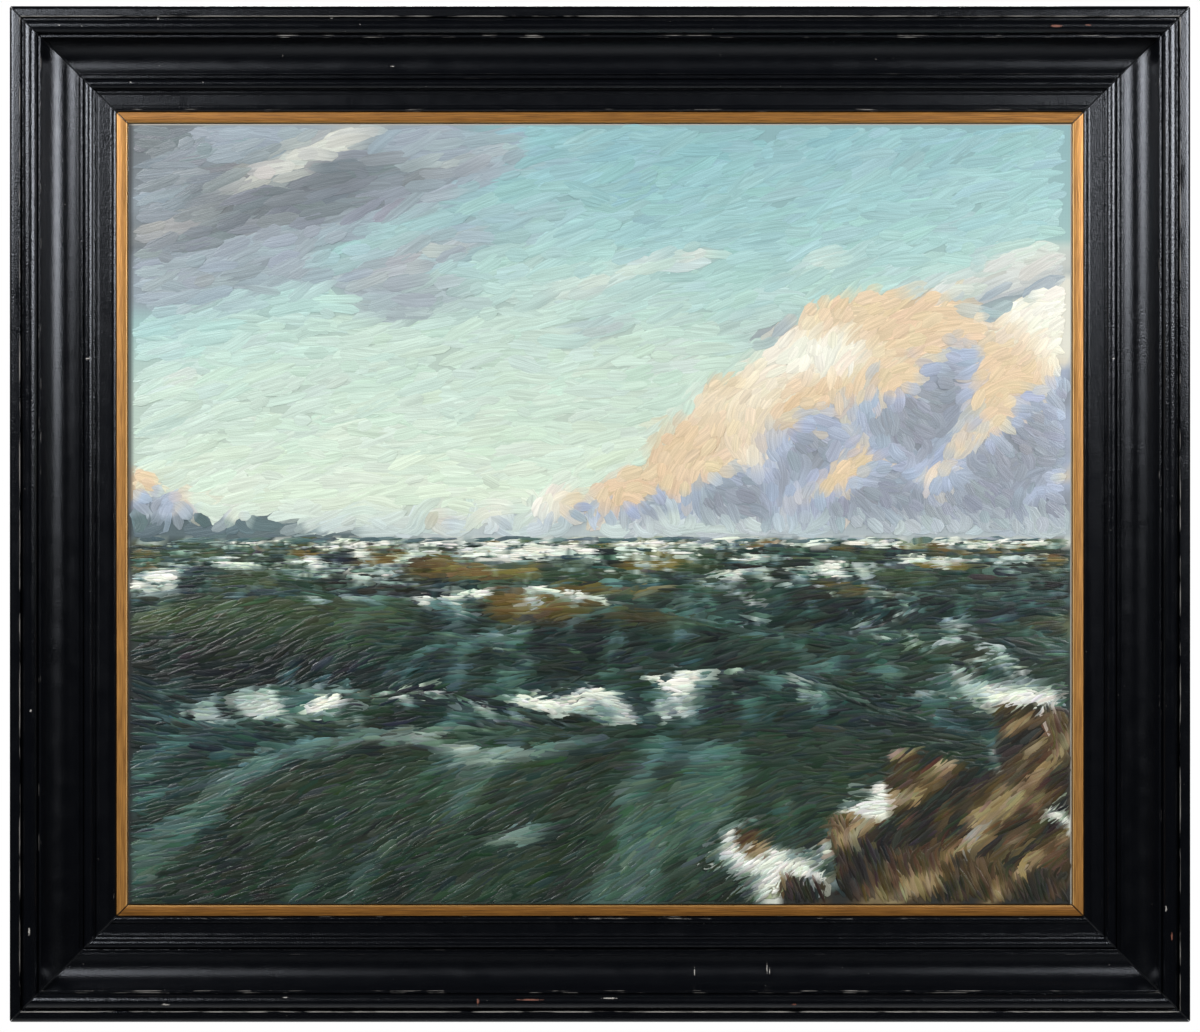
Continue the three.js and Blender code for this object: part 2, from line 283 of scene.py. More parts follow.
def section_object(points, radius, wear, polish):
    """The closed section as edges. Wear and polish are tables of (from, to, value) by distance in; the wear
    table also places painted highlights on some arrises.
    """
    outline, exposed, travelled = laid_out(points, radius)
    count = len(outline)
    mesh = bpy.data.meshes.new("section")
    edges = [(i, (i + 1) % count) for i in range(count)]
    mesh.from_pydata([(x * MM, y * MM, 0) for x, y in outline], edges, [])
    rub = [next((v for low, high, v in wear if low <= x <= high), ELSEWHERE_WORN) for x, _ in outline]
    shine = [next((v for low, high, v in polish if low <= x <= high), ELSEWHERE_POLISHED) for x, _ in outline]
    store(mesh, "girth", "FLOAT", [distance * MM for distance in travelled])
    store(mesh, "rub", "FLOAT", [share * value for share, value in zip(exposed, rub)])
    store(mesh, "shine", "FLOAT", shine)
    return linked("section", mesh)


def new_tree(name, inputs):
    """An empty geometry node group with the named inputs, as (tree, its input node)."""
    tree = bpy.data.node_groups.new(name, "GeometryNodeTree")
    tree.interface.new_socket("Geometry", in_out="INPUT", socket_type="NodeSocketGeometry")
    tree.interface.new_socket("Geometry", in_out="OUTPUT", socket_type="NodeSocketGeometry")
    for label, kind in inputs:
        tree.interface.new_socket(label, in_out="INPUT", socket_type="NodeSocket" + kind)
    return tree, tree.nodes.new("NodeGroupInput")


def moulding_tree():
    """Sweeps a section into a length with a 45 degree mitre at both ends, and ages it."""
    tree, given = new_tree(
        "mitred_moulding",
        [
            ("Outer length", "Float"), ("Mitre gap", "Float"), ("Steps", "Int"), ("Waviness", "Float"),
            ("Dent depth", "Float"), ("Shift", "Float"), ("Bare below", "Float"), ("Finish", "Material"),
            ("Bare wood", "Material"),
        ],
    )
    value = given.outputs
    section = put(tree, "GeometryNodeMeshToCurve", {"Mesh": value["Geometry"]})
    line = put(tree, "GeometryNodeCurvePrimitiveLine", {"Start": (0, 0, -0.5), "End": (0, 0, 0.5)})
    path = put(tree, "GeometryNodeResampleCurve", {"Curve": line, "Count": value["Steps"]})
    swept = put(tree, "GeometryNodeCurveToMesh", {"Curve": path, "Profile Curve": section, "Fill Caps": True})
    place = put(tree, "ShaderNodeSeparateXYZ", {0: put(tree, "GeometryNodeInputPosition")}).outputs
    inset = put(
        tree, "ShaderNodeMath", {0: place["X"], 1: 2, 2: value["Mitre gap"]}, operation="MULTIPLY_ADD"
    )
    length = put(tree, "ShaderNodeMath", {0: value["Outer length"], 1: inset}, operation="SUBTRACT")
    along = put(tree, "ShaderNodeMath", {0: place["Z"], 1: length}, operation="MULTIPLY")
    flips = [
        put(tree, "ShaderNodeMath", {0: socket, 1: -1}, operation="MULTIPLY")
        for socket in (along, place["Y"], place["X"])
    ]
    laid = put(tree, "ShaderNodeCombineXYZ", {"X": flips[0], "Y": flips[1], "Z": flips[2]})
    mitred = put(tree, "GeometryNodeSetPosition", {"Geometry": swept, "Position": laid})
    now = put(tree, "ShaderNodeSeparateXYZ", {0: put(tree, "GeometryNodeInputPosition")}).outputs
    shifted = put(tree, "ShaderNodeMath", {0: now["X"], 1: value["Shift"]}, operation="ADD")
    girth = put(tree, "GeometryNodeInputNamedAttribute", {"Name": "girth"}, data_type="FLOAT")
    unrolled = put(tree, "ShaderNodeCombineXYZ", {"X": shifted, "Y": girth})
    mapped = put(
        tree, "GeometryNodeStoreNamedAttribute",
        {"Geometry": mitred, "Name": "grain_map", "Value": unrolled},
        data_type="FLOAT2", domain="CORNER",
    )
    off_middle = put(tree, "ShaderNodeMath", {0: now["X"]}, operation="ABSOLUTE")
    end = put(
        tree, "ShaderNodeMath", {0: value["Outer length"], 1: 0.5, 2: now["Z"]}, operation="MULTIPLY_ADD"
    )
    to_mitre = put(tree, "ShaderNodeMath", {0: end, 1: off_middle}, operation="SUBTRACT")
    jointed = put(
        tree, "GeometryNodeStoreNamedAttribute",
        {"Geometry": mapped, "Name": "to_mitre", "Value": to_mitre}, data_type="FLOAT",
    )
    # knocks: short dips along exposed arrises, on a slow noise that also lets the planed faces wander
    wander = put(
        tree, "ShaderNodeTexNoise", {"Vector": unrolled, "Scale": 22.0, "Detail": 2.0}
    )
    centred = put(tree, "ShaderNodeMath", {0: wander, 1: 0.7}, operation="SUBTRACT")
    swell = put(tree, "ShaderNodeMath", {0: centred, 1: value["Waviness"]}, operation="MULTIPLY")
    knock = put(tree, "ShaderNodeTexNoise", {"Vector": unrolled, "Scale": 95.0, "Detail": 3.0})
    deep = put(tree, "ShaderNodeMapRange", {"Value": knock, "From Min": 0.6, "From Max": 0.78})
    rub = put(tree, "GeometryNodeInputNamedAttribute", {"Name": "rub"}, data_type="FLOAT")
    where = put(tree, "ShaderNodeMath", {0: deep, 1: rub}, operation="MULTIPLY")
    dent = put(tree, "ShaderNodeMath", {0: where, 1: value["Dent depth"]}, operation="MULTIPLY")
    lost = put(tree, "ShaderNodeMath", {0: swell, 1: dent}, operation="SUBTRACT")
    push = put(tree, "ShaderNodeMath", {0: lost, 1: 0.0}, operation="MINIMUM")
    normal = put(tree, "GeometryNodeInputNormal")
    offset = put(tree, "ShaderNodeVectorMath", {0: normal, "Scale": push}, operation="SCALE")
    aged = put(tree, "GeometryNodeSetPosition", {"Geometry": jointed, "Offset": offset})
    real = put(tree, "GeometryNodeRealizeInstances", {"Geometry": aged})
    finish = put(tree, "GeometryNodeSetMaterial", {"Geometry": real, "Material": value["Finish"]})
    height = put(tree, "ShaderNodeMath", {0: now["Y"], 1: -1}, operation="MULTIPLY")
    low = put(tree, "FunctionNodeCompare", {0: height, 1: value["Bare below"]}, operation="LESS_THAN")
    bare = put(
        tree, "GeometryNodeSetMaterial",
        {"Geometry": finish, "Selection": low, "Material": value["Bare wood"]},
    )
    put(tree, "NodeGroupOutput", {"Geometry": bare})
    return tree


def evaluated(source, tree, values):
    """The plain mesh that the tree makes from the source with these input values. Uses the source up."""
    modifier = source.modifiers.new(tree.name, "NODES")
    modifier.node_group = tree
    for item in tree.interface.items_tree:
        if item.in_out == "INPUT" and item.name in values:
            modifier[item.identifier] = values[item.name]
    graph = bpy.context.evaluated_depsgraph_get()
    mesh = bpy.data.meshes.new_from_object(source.evaluated_get(graph))
    source.modifiers.remove(modifier)
    old = source.data
    bpy.data.objects.remove(source)
    bpy.data.meshes.remove(old)
    return mesh


def piece(name, mesh, slot, *nodes):
    """Links the mesh as a piece that rides on the part, in place of the nodes. The slot is not used."""
    mesh.name = name
    made = linked(name, mesh)
    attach(made, "root")
    if nodes:
        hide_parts(*nodes)
    return made


def side_matrix(side):
    """Turns what lies along the top edge, with that edge at z = 0, to its own side of the picture."""
    reach = (FRAME_WIDTH if side in ("left", "right") else FRAME_HEIGHT) / 2
    turn = TURN[side]
    out = Vector((math.sin(turn), 0, math.cos(turn))) * reach
    return Matrix.Translation(Vector((MIDDLE.x, 0, MIDDLE.z)) + out) @ Matrix.Rotation(turn, 4, "Y")


def round_corners(mesh, length, radius):
    """Rounds the outer corners of a length that lies along X with its outer edge at z = 0."""
    work = bmesh.new()
    work.from_mesh(mesh)
    for sign in (-1, 1):
        for share in (0.25, 0.6, 1.0):
            cut = sign * (length / 2 - share * radius)
            everything = work.verts[:] + work.edges[:] + work.faces[:]
            bmesh.ops.bisect_plane(work, geom=everything, plane_co=(cut, 0, 0), plane_no=(1, 0, 0))
    for vertex in work.verts:
        across, down = abs(vertex.co.x) - length / 2 + radius, vertex.co.z + radius
        reach = math.hypot(across, down)
        if across > 0 and down > 0 and reach > radius:
            inward = (reach - radius) / reach
            vertex.co.x -= math.copysign(across * inward, vertex.co.x)
            vertex.co.z -= down * inward
    work.to_mesh(mesh)
    work.free()


def mitred_sides(names, nodes, slot, section, tree, settings, finish, bare, bare_below, steps, rounded=0.0):
    """The four lengths of one moulding as pieces, each in place of its node."""
    for number, side in enumerate(TURN):
        length = FRAME_WIDTH if side in ("top", "bottom") else FRAME_HEIGHT
        mesh = evaluated(
            section_object(*section), tree,
            {
                "Outer length": length, "Mitre gap": math.sqrt(2) * MITRE_GAP, "Steps": steps,
                "Waviness": settings.waviness, "Dent depth": settings.dent_depth, "Shift": SHIFT * number,
                "Bare below": bare_below, "Finish": finish, "Bare wood": bare,
            },
        )
        if rounded:
            round_corners(mesh, length, rounded)
        mesh.transform(side_matrix(side))
        mesh.shade_smooth()
        mesh.set_sharp_from_angle(angle=SHARPEST)
        piece(f"{names}_{side}", mesh, slot, f"{nodes}_{side}")


# ---------------------------------------------------------------- wood and metal


def new_material(name):
    material = bpy.data.materials.new(name)
    material.use_nodes = True
    material.node_tree.nodes.clear()
    return material, material.node_tree


def finished(material, values):
    """The material, ended with a principled shader that has these values."""
    shader = put(material.node_tree, "ShaderNodeBsdfPrincipled", values)
    put(material.node_tree, "ShaderNodeOutputMaterial", {"Surface": shader})
    return material


def stretched_noise(tree, place, stretch, detail, roughness=0.5):
    """Noise drawn out over the place, which is in metres: its grains are about 1 / stretch long each way."""
    at = put(tree, "ShaderNodeVectorMath", {0: place, 1: stretch}, operation="MULTIPLY")
    return put(
        tree, "ShaderNodeTexNoise", {"Vector": at, "Scale": 1.0, "Detail": detail, "Roughness": roughness}
    )


# Marks in the black, in millimetres: side, place along it from its middle, distance in from the edge,
# half length and half width. Each side runs on to the right when it is turned to be the top one.
CHIPS = [
    ("top", 348, 17, 5.5, 1.3), ("top", 372, 16, 3, 0.7), ("bottom", 93, 17.5, 1.1, 3.4),
    ("bottom", 53, 18.5, 12, 0.8), ("bottom", -148, 15, 2.2, 0.8), ("right", 322, 16, 4, 0.9),
]
SCUFFS = [
    ("bottom", -7, 19.5, 7, 0.7), ("bottom", -73, 36, 0.5, 3.5), ("bottom", -129, 38, 0.5, 4.5),
    ("bottom", -131, 36, 0.4, 3.0), ("bottom", 331, 15, 4, 0.9), ("bottom", 240, 20, 2.5, 0.6),
    ("top", -338, 9.4, 1.2, 1.4), ("top", -205, 9.2, 1.6, 0.8), ("top", -160, 43, 2.2, 0.4),
    ("left", -318, 17, 3.5, 1.0), ("left", -150, 18, 1.2, 1.0), ("right", 301, 20, 3.0, 0.9),
    ("right", -120, 56, 0.8, 1.6), ("left", 120, 57, 0.7, 2.0), ("top", -412, 16.3, 0.7, 0.5),
    ("top", -395, 17, 0.5, 0.5), ("top", -362, 55.7, 0.9, 0.4), ("top", -306, 55.7, 0.7, 0.4),
    ("top", -245, 35, 0.5, 0.6), ("top", -183, 15.5, 0.8, 0.5),
]


def nearest_mark(tree, plan, marks):
    """Distance to the nearest of the marks, in its own half sizes: below one inside it."""
    nearest = 9.0
    for side, along, inset, half_long, half_wide in marks:
        at = (SHIFT * list(TURN).index(side) + along * MM, frame_girth(inset) * MM, 0)
        off = put(tree, "ShaderNodeVectorMath", {0: plan, 1: at}, operation="SUBTRACT")
        scale = (1 / (half_long * MM), 1 / (half_wide * MM), 0)
        near = put(tree, "ShaderNodeVectorMath", {0: off, 1: scale}, operation="MULTIPLY")
        reach = put(tree, "ShaderNodeVectorMath", {0: near}, operation="LENGTH")
        nearest = put(tree, "ShaderNodeMath", {0: reach, 1: nearest}, operation="MINIMUM")
    return nearest


def mitre_line(tree):
    """One within half a millimetre of a mitre, where dirt has darkened the joint, and 0 elsewhere."""
    distance = put(tree, "ShaderNodeAttribute", attribute_name="to_mitre").outputs["Fac"]
    return put(
        tree, "ShaderNodeMapRange",
        {"Value": distance, "From Min": 0.45 * MM, "From Max": 0.85 * MM, "To Min": 1.0, "To Max": 0.0},
    )


def ebonised_wood(settings):
    """Wood stained black and varnished to a satin gloss: near-black with a broken, silky highlight."""
    material, tree = new_material("ebonised_wood")
    plan = put(tree, "ShaderNodeUVMap", uv_map="grain_map")
    # pores 0.6 mm wide and 6 mm long, drawn out along the rail
    pores = stretched_noise(tree, plan, (170, 1600, 1), 2.0)
    # nibs in the varnish about 1 mm across, which break every highlight into specks
    nibs = stretched_noise(tree, plan, (640, 1100, 1), 3.0)
    relief = put(tree, "ShaderNodeMath", {0: pores, 1: 0.6, 2: nibs}, operation="MULTIPLY_ADD")
    bump = put(tree, "ShaderNodeBump", {"Height": relief, "Strength": 0.85, "Distance": 0.22 * MM})
    # beads and the sight edge are rubbed bright, the scoop and the inner band stay duller
    shine = put(tree, "ShaderNodeAttribute", attribute_name="shine").outputs["Fac"]
    polish = put(
        tree, "ShaderNodeMapRange",
        {"Value": shine, "From Min": 0.0, "From Max": 1.0, "To Min": 0.42, "To Max": 0.15},
    )
    cloud = put(tree, "ShaderNodeTexNoise", {"Vector": plan, "Scale": 60.0, "Detail": 4.0})
    dull = put(
        tree, "ShaderNodeMapRange",
        {"Value": cloud, "From Min": 0.3, "From Max": 0.7, "To Min": -0.03, "To Max": 0.05},
    )
    gloss = put(tree, "ShaderNodeMath", {0: polish, 1: dull}, operation="ADD")
    # rubbed arrises: a pale line that breaks up where the rubbing is lighter. On the outer band's arris it is
    # partly a painted highlight, and along the level rails it is made fuller as a painted highlight where the
    # side lights give none
    rub = put(tree, "ShaderNodeAttribute", attribute_name="rub").outputs["Fac"]
    runs = stretched_noise(tree, plan, (45, 300, 1), 6.0)
    side = put(tree, "ShaderNodeSeparateXYZ", {0: plan}).outputs["X"]
    upright = put(tree, "ShaderNodeMath", {0: side, 1: 2.0}, operation="PINGPONG")
    level = put(tree, "ShaderNodeMath", {0: upright, 1: 0.6}, operation="LESS_THAN")
    runs_and_painted_highlight = put(tree, "ShaderNodeMath", {0: level, 1: 0.07, 2: runs}, operation="MULTIPLY_ADD")
    wear_and_highlight_by = put(tree, "ShaderNodeMath", {0: rub, 1: 0.24, 2: runs_and_painted_highlight}, operation="MULTIPLY_ADD")
    worn = put(
        tree, "ShaderNodeMapRange",
        {"Value": wear_and_highlight_by, "From Min": 0.68, "From Max": 0.82, "To Min": 0.0, "To Max": 0.6},
    )
    on_arris = put(tree, "ShaderNodeMapRange", {"Value": rub, "From Min": 0.02, "From Max": 0.12})
    worn = put(tree, "ShaderNodeMath", {0: worn, 1: on_arris}, operation="MULTIPLY")
    # ragged specks of dust and pin-head nicks up to 0.8 mm across
    fray = put(tree, "ShaderNodeTexNoise", {"Vector": plan, "Scale": 900.0, "Detail": 2.0})
    cells = put(tree, "ShaderNodeTexVoronoi", {"Vector": plan, "Scale": 150.0}, feature="F1")
    edge = put(
        tree, "ShaderNodeMath", {0: fray, 1: 0.16, 2: cells.outputs["Distance"]}, operation="MULTIPLY_ADD"
    )
    dot = put(
        tree, "ShaderNodeMapRange",
        {"Value": edge, "From Min": 0.09, "From Max": 0.13, "To Min": 0.7, "To Max": 0.0},
    )
    pick = put(tree, "ShaderNodeSeparateColor", {0: cells.outputs["Color"]})
    few = put(tree, "ShaderNodeMath", {0: pick, 1: 0.86}, operation="GREATER_THAN")
    speck = put(tree, "ShaderNodeMath", {0: dot, 1: few}, operation="MULTIPLY")
    # knocks with ragged edges: some through to the red-brown ground, some only scuffed pale
    knocked = []
    for marks in (CHIPS, SCUFFS):
        nearest = nearest_mark(tree, plan, marks)
        ragged = put(tree, "ShaderNodeMath", {0: fray, 1: 1.8, 2: nearest}, operation="MULTIPLY_ADD")
        knocked.append(put(
            tree, "ShaderNodeMapRange",
            {"Value": ragged, "From Min": 1.35, "From Max": 1.75, "To Min": 1.0, "To Max": 0.0},
        ))
    pale = put(tree, "ShaderNodeMath", {0: worn, 1: speck}, operation="MAXIMUM")
    pale = put(tree, "ShaderNodeMath", {0: pale, 1: knocked[1]}, operation="MAXIMUM")
    with_dust_and_highlight = put(
        tree, "ShaderNodeMix", {"Factor": pale, 6: settings.black, 7: linear(0xA09C96)}, data_type="RGBA"
    )
    with_chips = put(
        tree, "ShaderNodeMix", {"Factor": knocked[0], 6: with_dust_and_highlight, 7: settings.undercoat}, data_type="RGBA"
    )
    hurt = put(tree, "ShaderNodeMath", {0: pale, 1: knocked[0]}, operation="MAXIMUM")
    rough = put(tree, "ShaderNodeMix", {"Factor": hurt, 2: gloss, 3: 0.6}, data_type="FLOAT")
    joint = mitre_line(tree)
    dark = put(
        tree, "ShaderNodeMix", {"Factor": joint, 6: with_chips, 7: (0.001, 0.001, 0.001, 1)}, data_type="RGBA"
    )
    dulled = put(tree, "ShaderNodeMix", {"Factor": joint, 2: rough, 3: 1.0}, data_type="FLOAT")
    return finished(material, {
        "Base Color": dark, "Roughness": dulled, "IOR": 1.5,
        "Specular Tint": (0.86, 0.91, 1.0, 1), "Normal": bump,
    })


def sawn_wood(name, place, stretch, detail, roughness, spread, colours, relief, dullness):
    """Unfinished wood: matt, and darker along growth lines. The place adds the node that lays them out."""
    material, tree = new_material(name)
    lines = stretched_noise(tree, place(tree), stretch, detail, roughness)
    share = put(tree, "ShaderNodeMapRange", {"Value": lines, "From Min": spread[0], "From Max": spread[1]})
    tone = put(tree, "ShaderNodeMix", {"Factor": share, 6: colours[0], 7: colours[1]}, data_type="RGBA")
    bump = put(tree, "ShaderNodeBump", {"Height": lines, "Strength": relief, "Distance": 0.2 * MM})
    return finished(material, {"Base Color": tone, "Roughness": dullness, "IOR": 1.5, "Normal": bump})


def bare_frame_wood(settings):
    """Unfinished poplar of the frame's back: matt, dusty, growth lines 3 mm apart and 150 mm long."""
    return sawn_wood(
        "bare_poplar", lambda tree: put(tree, "ShaderNodeUVMap", uv_map="grain_map"), (7, 330, 1), 7.0, 0.65,
        (0.0, 1.0), (linear(0x5E4630), settings.bare_wood), 0.4, 0.8,
    )


def strainer_pine(along):
    """Sawn softwood of the strainer: honey brown, growth lines 4 mm apart across it and 180 mm long."""
    stretch = (5.5, 120, 240) if along == "x" else (240, 120, 5.5)
    return sawn_wood(
        f"pine_along_{along}", lambda tree: put(tree, "ShaderNodeTexCoord").outputs["Object"], stretch,
        6.0, 0.55, (0.35, 0.65), (linear(0x8B643C), linear(0xB9925F)), 0.3, 0.72,
    )


def gilt_wood(settings):
    """Bronze powder in size over wood: a warm half-metal sheen, streaked by the grain beneath. Painted shade
    darkens the top and bottom lengths, and the pale gold on the rubbed arrises is partly wear and partly a
    painted highlight.
    """
    material, tree = new_material("bronze_gilt_wood")
    plan = put(tree, "ShaderNodeUVMap", uv_map="grain_map")
    # streaks 0.8 mm wide and 30 mm long
    streak = stretched_noise(tree, plan, (34, 1250, 1), 5.0, 0.6)
    spread = put(tree, "ShaderNodeMapRange", {"Value": streak, "From Min": 0.32, "From Max": 0.68})
    tone = put(
        tree, "ShaderNodeMix", {"Factor": spread, 6: linear(0x7A5226), 7: settings.gilding}, data_type="RGBA"
    )
    # pale gold along the rubbed arrises: partly real wear, partly a painted highlight where the arrises catch
    # the side lights
    rub = put(tree, "ShaderNodeAttribute", attribute_name="rub").outputs["Fac"]
    lit = put(
        tree, "ShaderNodeMapRange",
        {"Value": rub, "From Min": 0.3, "From Max": 1.0, "To Min": 0.0, "To Max": 0.6},
    )
    edged_with_highlight = put(tree, "ShaderNodeMix", {"Factor": lit, 6: tone, 7: linear(0xE0BE86)}, data_type="RGBA")
    # painted shade: the top and bottom lengths are darker and browner, standing in for the side light that
    # their level grain does not catch; UV x stands near 0 and 4 m on them, near 2 and 6 m at the sides
    side = put(tree, "ShaderNodeSeparateXYZ", {0: plan}).outputs["X"]
    upright = put(tree, "ShaderNodeMath", {0: side, 1: 2.0}, operation="PINGPONG")
    painted_shade_tone = put(tree, "ShaderNodeVectorMath", {0: edged_with_highlight, 1: (0.66, 0.60, 0.44)}, operation="MULTIPLY")
    share = put(tree, "ShaderNodeMapRange", {"Value": upright, "From Min": 0.6, "From Max": 1.4})
    toned = put(tree, "ShaderNodeMix", {"Factor": share, 6: painted_shade_tone, 7: edged_with_highlight}, data_type="RGBA")
    jointed = put(
        tree, "ShaderNodeMix", {"Factor": mitre_line(tree), 6: toned, 7: linear(0x2A1A0C)}, data_type="RGBA"
    )
    bump = put(tree, "ShaderNodeBump", {"Height": streak, "Strength": 0.9, "Distance": 0.3 * MM})
    return finished(material, {"Base Color": jointed, "Roughness": 0.42, "Metallic": 0.45, "Normal": bump})


def zinc_steel():
    """Zinc-plated steel of the plates and screws, gone dull: pale grey metal with cloudy patches."""
    material, tree = new_material("zinc_plated_steel")
    here = put(tree, "ShaderNodeTexCoord").outputs["Object"]
    cloud = put(tree, "ShaderNodeTexNoise", {"Vector": here, "Scale": 260.0, "Detail": 4.0})
    tone = put(
        tree, "ShaderNodeMix", {"Factor": cloud, 6: linear(0x77736B), 7: linear(0xB4B0A6)}, data_type="RGBA"
    )
    rough = put(tree, "ShaderNodeMapRange", {"Value": cloud, "To Min": 0.28, "To Max": 0.55})
    return finished(material, {"Base Color": tone, "Roughness": rough, "Metallic": 0.9})


# ---------------------------------------------------------------- the painted design
# The picture is an invented shore view. Its places are given in picture heights from the lower left.


def lattice_noise(x, y, seed):
    """Smooth noise from 0 to 1, one lattice cell to a unit."""
    xi, yi = np.floor(x).astype(np.int64), np.floor(y).astype(np.int64)
    fx, fy = x - xi, y - yi
    fx, fy = fx * fx * (3 - 2 * fx), fy * fy * (3 - 2 * fy)

    def corner(i, j):
        h = (i * 374761393 + j * 668265263 + seed * 974634777) & 0xFFFFFFFF
        h = ((h ^ (h >> 13)) * 1274126177) & 0xFFFFFFFF
        return ((h ^ (h >> 16)) & 0xFFFF) / 65535.0

    low = corner(xi, yi) * (1 - fx) + corner(xi + 1, yi) * fx
    high = corner(xi, yi + 1) * (1 - fx) + corner(xi + 1, yi + 1) * fx
    return low * (1 - fy) + high * fy


def cloudy(x, y, octaves, seed):
    """Layered noise from 0 to 1, each layer twice as fine and half as strong."""
    total, weight = 0.0, 0.5
    for octave in range(octaves):
        total = total + weight * lattice_noise(x * 2**octave, y * 2**octave, seed + 31 * octave)
        weight *= 0.5
    return total / (1 - 0.5**octaves)


def ease(low, high, x):
    t = np.clip((x - low) / (high - low), 0, 1)
    return t * t * (3 - 2 * t)


def blend(a, b, share):
    return a + (b - a) * np.asarray(share)[..., None]


def tint(value):
    """A paint colour to mix with, kept in sRGB so that mixtures look as they do on a palette."""
    return np.array([(value >> shift & 255) / 255 for shift in (16, 8, 0)])


PAINTS = {
    name: tint(value)
    for name, value in {
        "zenith": 0x83AAAE, "high_sky": 0x97B9B7, "open_sky": 0xB4C8BC, "low_sky": 0xC9D6C4, "veil": 0x8A949D,
        "slate": 0x5D6468, "lilac": 0x9DA9BC, "shadow": 0x858D97, "cream": 0xDCDBCD, "peach": 0xCBB290,
        "far_sea": 0x546F76, "teal": 0x172B2B, "deep": 0x0D1716, "green": 0x20352C, "glass": 0x3C4D31,
        "ochre": 0x82682F, "glint": 0x6C9693, "foam": 0xD8DCD0, "grey_foam": 0x8FA39D, "rock": 0x1F211D,
        "lit_rock": 0x8C7C58, "umber": 0x463823, "far_land": 0x586A72,
    }.items()
}


def glazed(colour, *coats):
    """The colour under coats of paint, each given by its name and how much of it covers."""
    for name, share in coats:
        colour = blend(colour, PAINTS[name], share)
    return colour


EYE = 2.35  # metres above the invented sea
REACH = 1.15  # picture heights that a slope of one covers
CREST_ROOM = 0.02  # picture heights above the horizon that a crest can fill
NEAREST, FARTHEST = 3.0, 900  # metres of sea in front of the eye
# Swells: wavelength and height in metres, heading in degrees, sharpness, start
SWELLS = [
    (10.5, 1.35, 83, 2.2, 2.6), (6.4, 0.55, 108, 1.7, 1.9),
    (3.7, 0.27, 60, 1.2, 4.4), (2.1, 0.12, 118, 0.8, 2.2),
]
# Heads of the cloud bank: place across, height above the horizon, radius
CLOUD_HEADS = [
    (0.74, 0.085, 0.070), (0.85, 0.14, 0.10), (0.98, 0.20, 0.125), (1.11, 0.15, 0.12), (1.21, 0.23, 0.10),
    (0.64, 0.05, 0.05), (0.56, 0.035, 0.035), (0.93, 0.07, 0.10), (1.07, 0.07, 0.10), (1.18, 0.06, 0.09),
    (0.47, 0.022, 0.022), (0.40, 0.016, 0.016), (0.06, 0.035, 0.035), (0.0, 0.055, 0.045), (0.14, 0.02, 0.02),
]
# Rocks of the near shore: place across, height, radius
ROCKS = [
    (1.12, 0.06, 0.13), (1.00, 0.015, 0.095), (1.20, 0.17, 0.085), (0.88, -0.005, 0.05), (0.80, 0.075, 0.022),
]


def sea_height(x, y):
    """Height of the water at a place on the sea, in metres, and how close to breaking it is."""
    total, breaking = 0.0, 0.0
    warp = 2.6 * (cloudy(x / 17, y / 17, 3, 203) - 0.5)
    for number, (length, height, heading, sharp, start) in enumerate(SWELLS):
        turn = math.radians(heading)
        group = 0.45 + 1.1 * cloudy(x / (1.6 * length) + number, y / (2.5 * length), 2, 211 + number)
        phase = 2 * math.pi * (x * math.cos(turn) + y * math.sin(turn)) / length + start + warp
        phase = phase - 0.45 * np.sin(phase)
        wave = (np.exp(sharp * (np.cos(phase) - 1)) - math.exp(-2 * sharp)) / (1 - math.exp(-2 * sharp))
        total = total + height * group * wave
        if number < 2:
            breaking = np.maximum(breaking, wave * ease(0.75, 1.25, group) * (1 - 0.2 * number))
    chop = cloudy(x * 0.9, y * 0.9, 4, 223) - 0.5
    return total + 0.22 * chop - 0.55, breaking


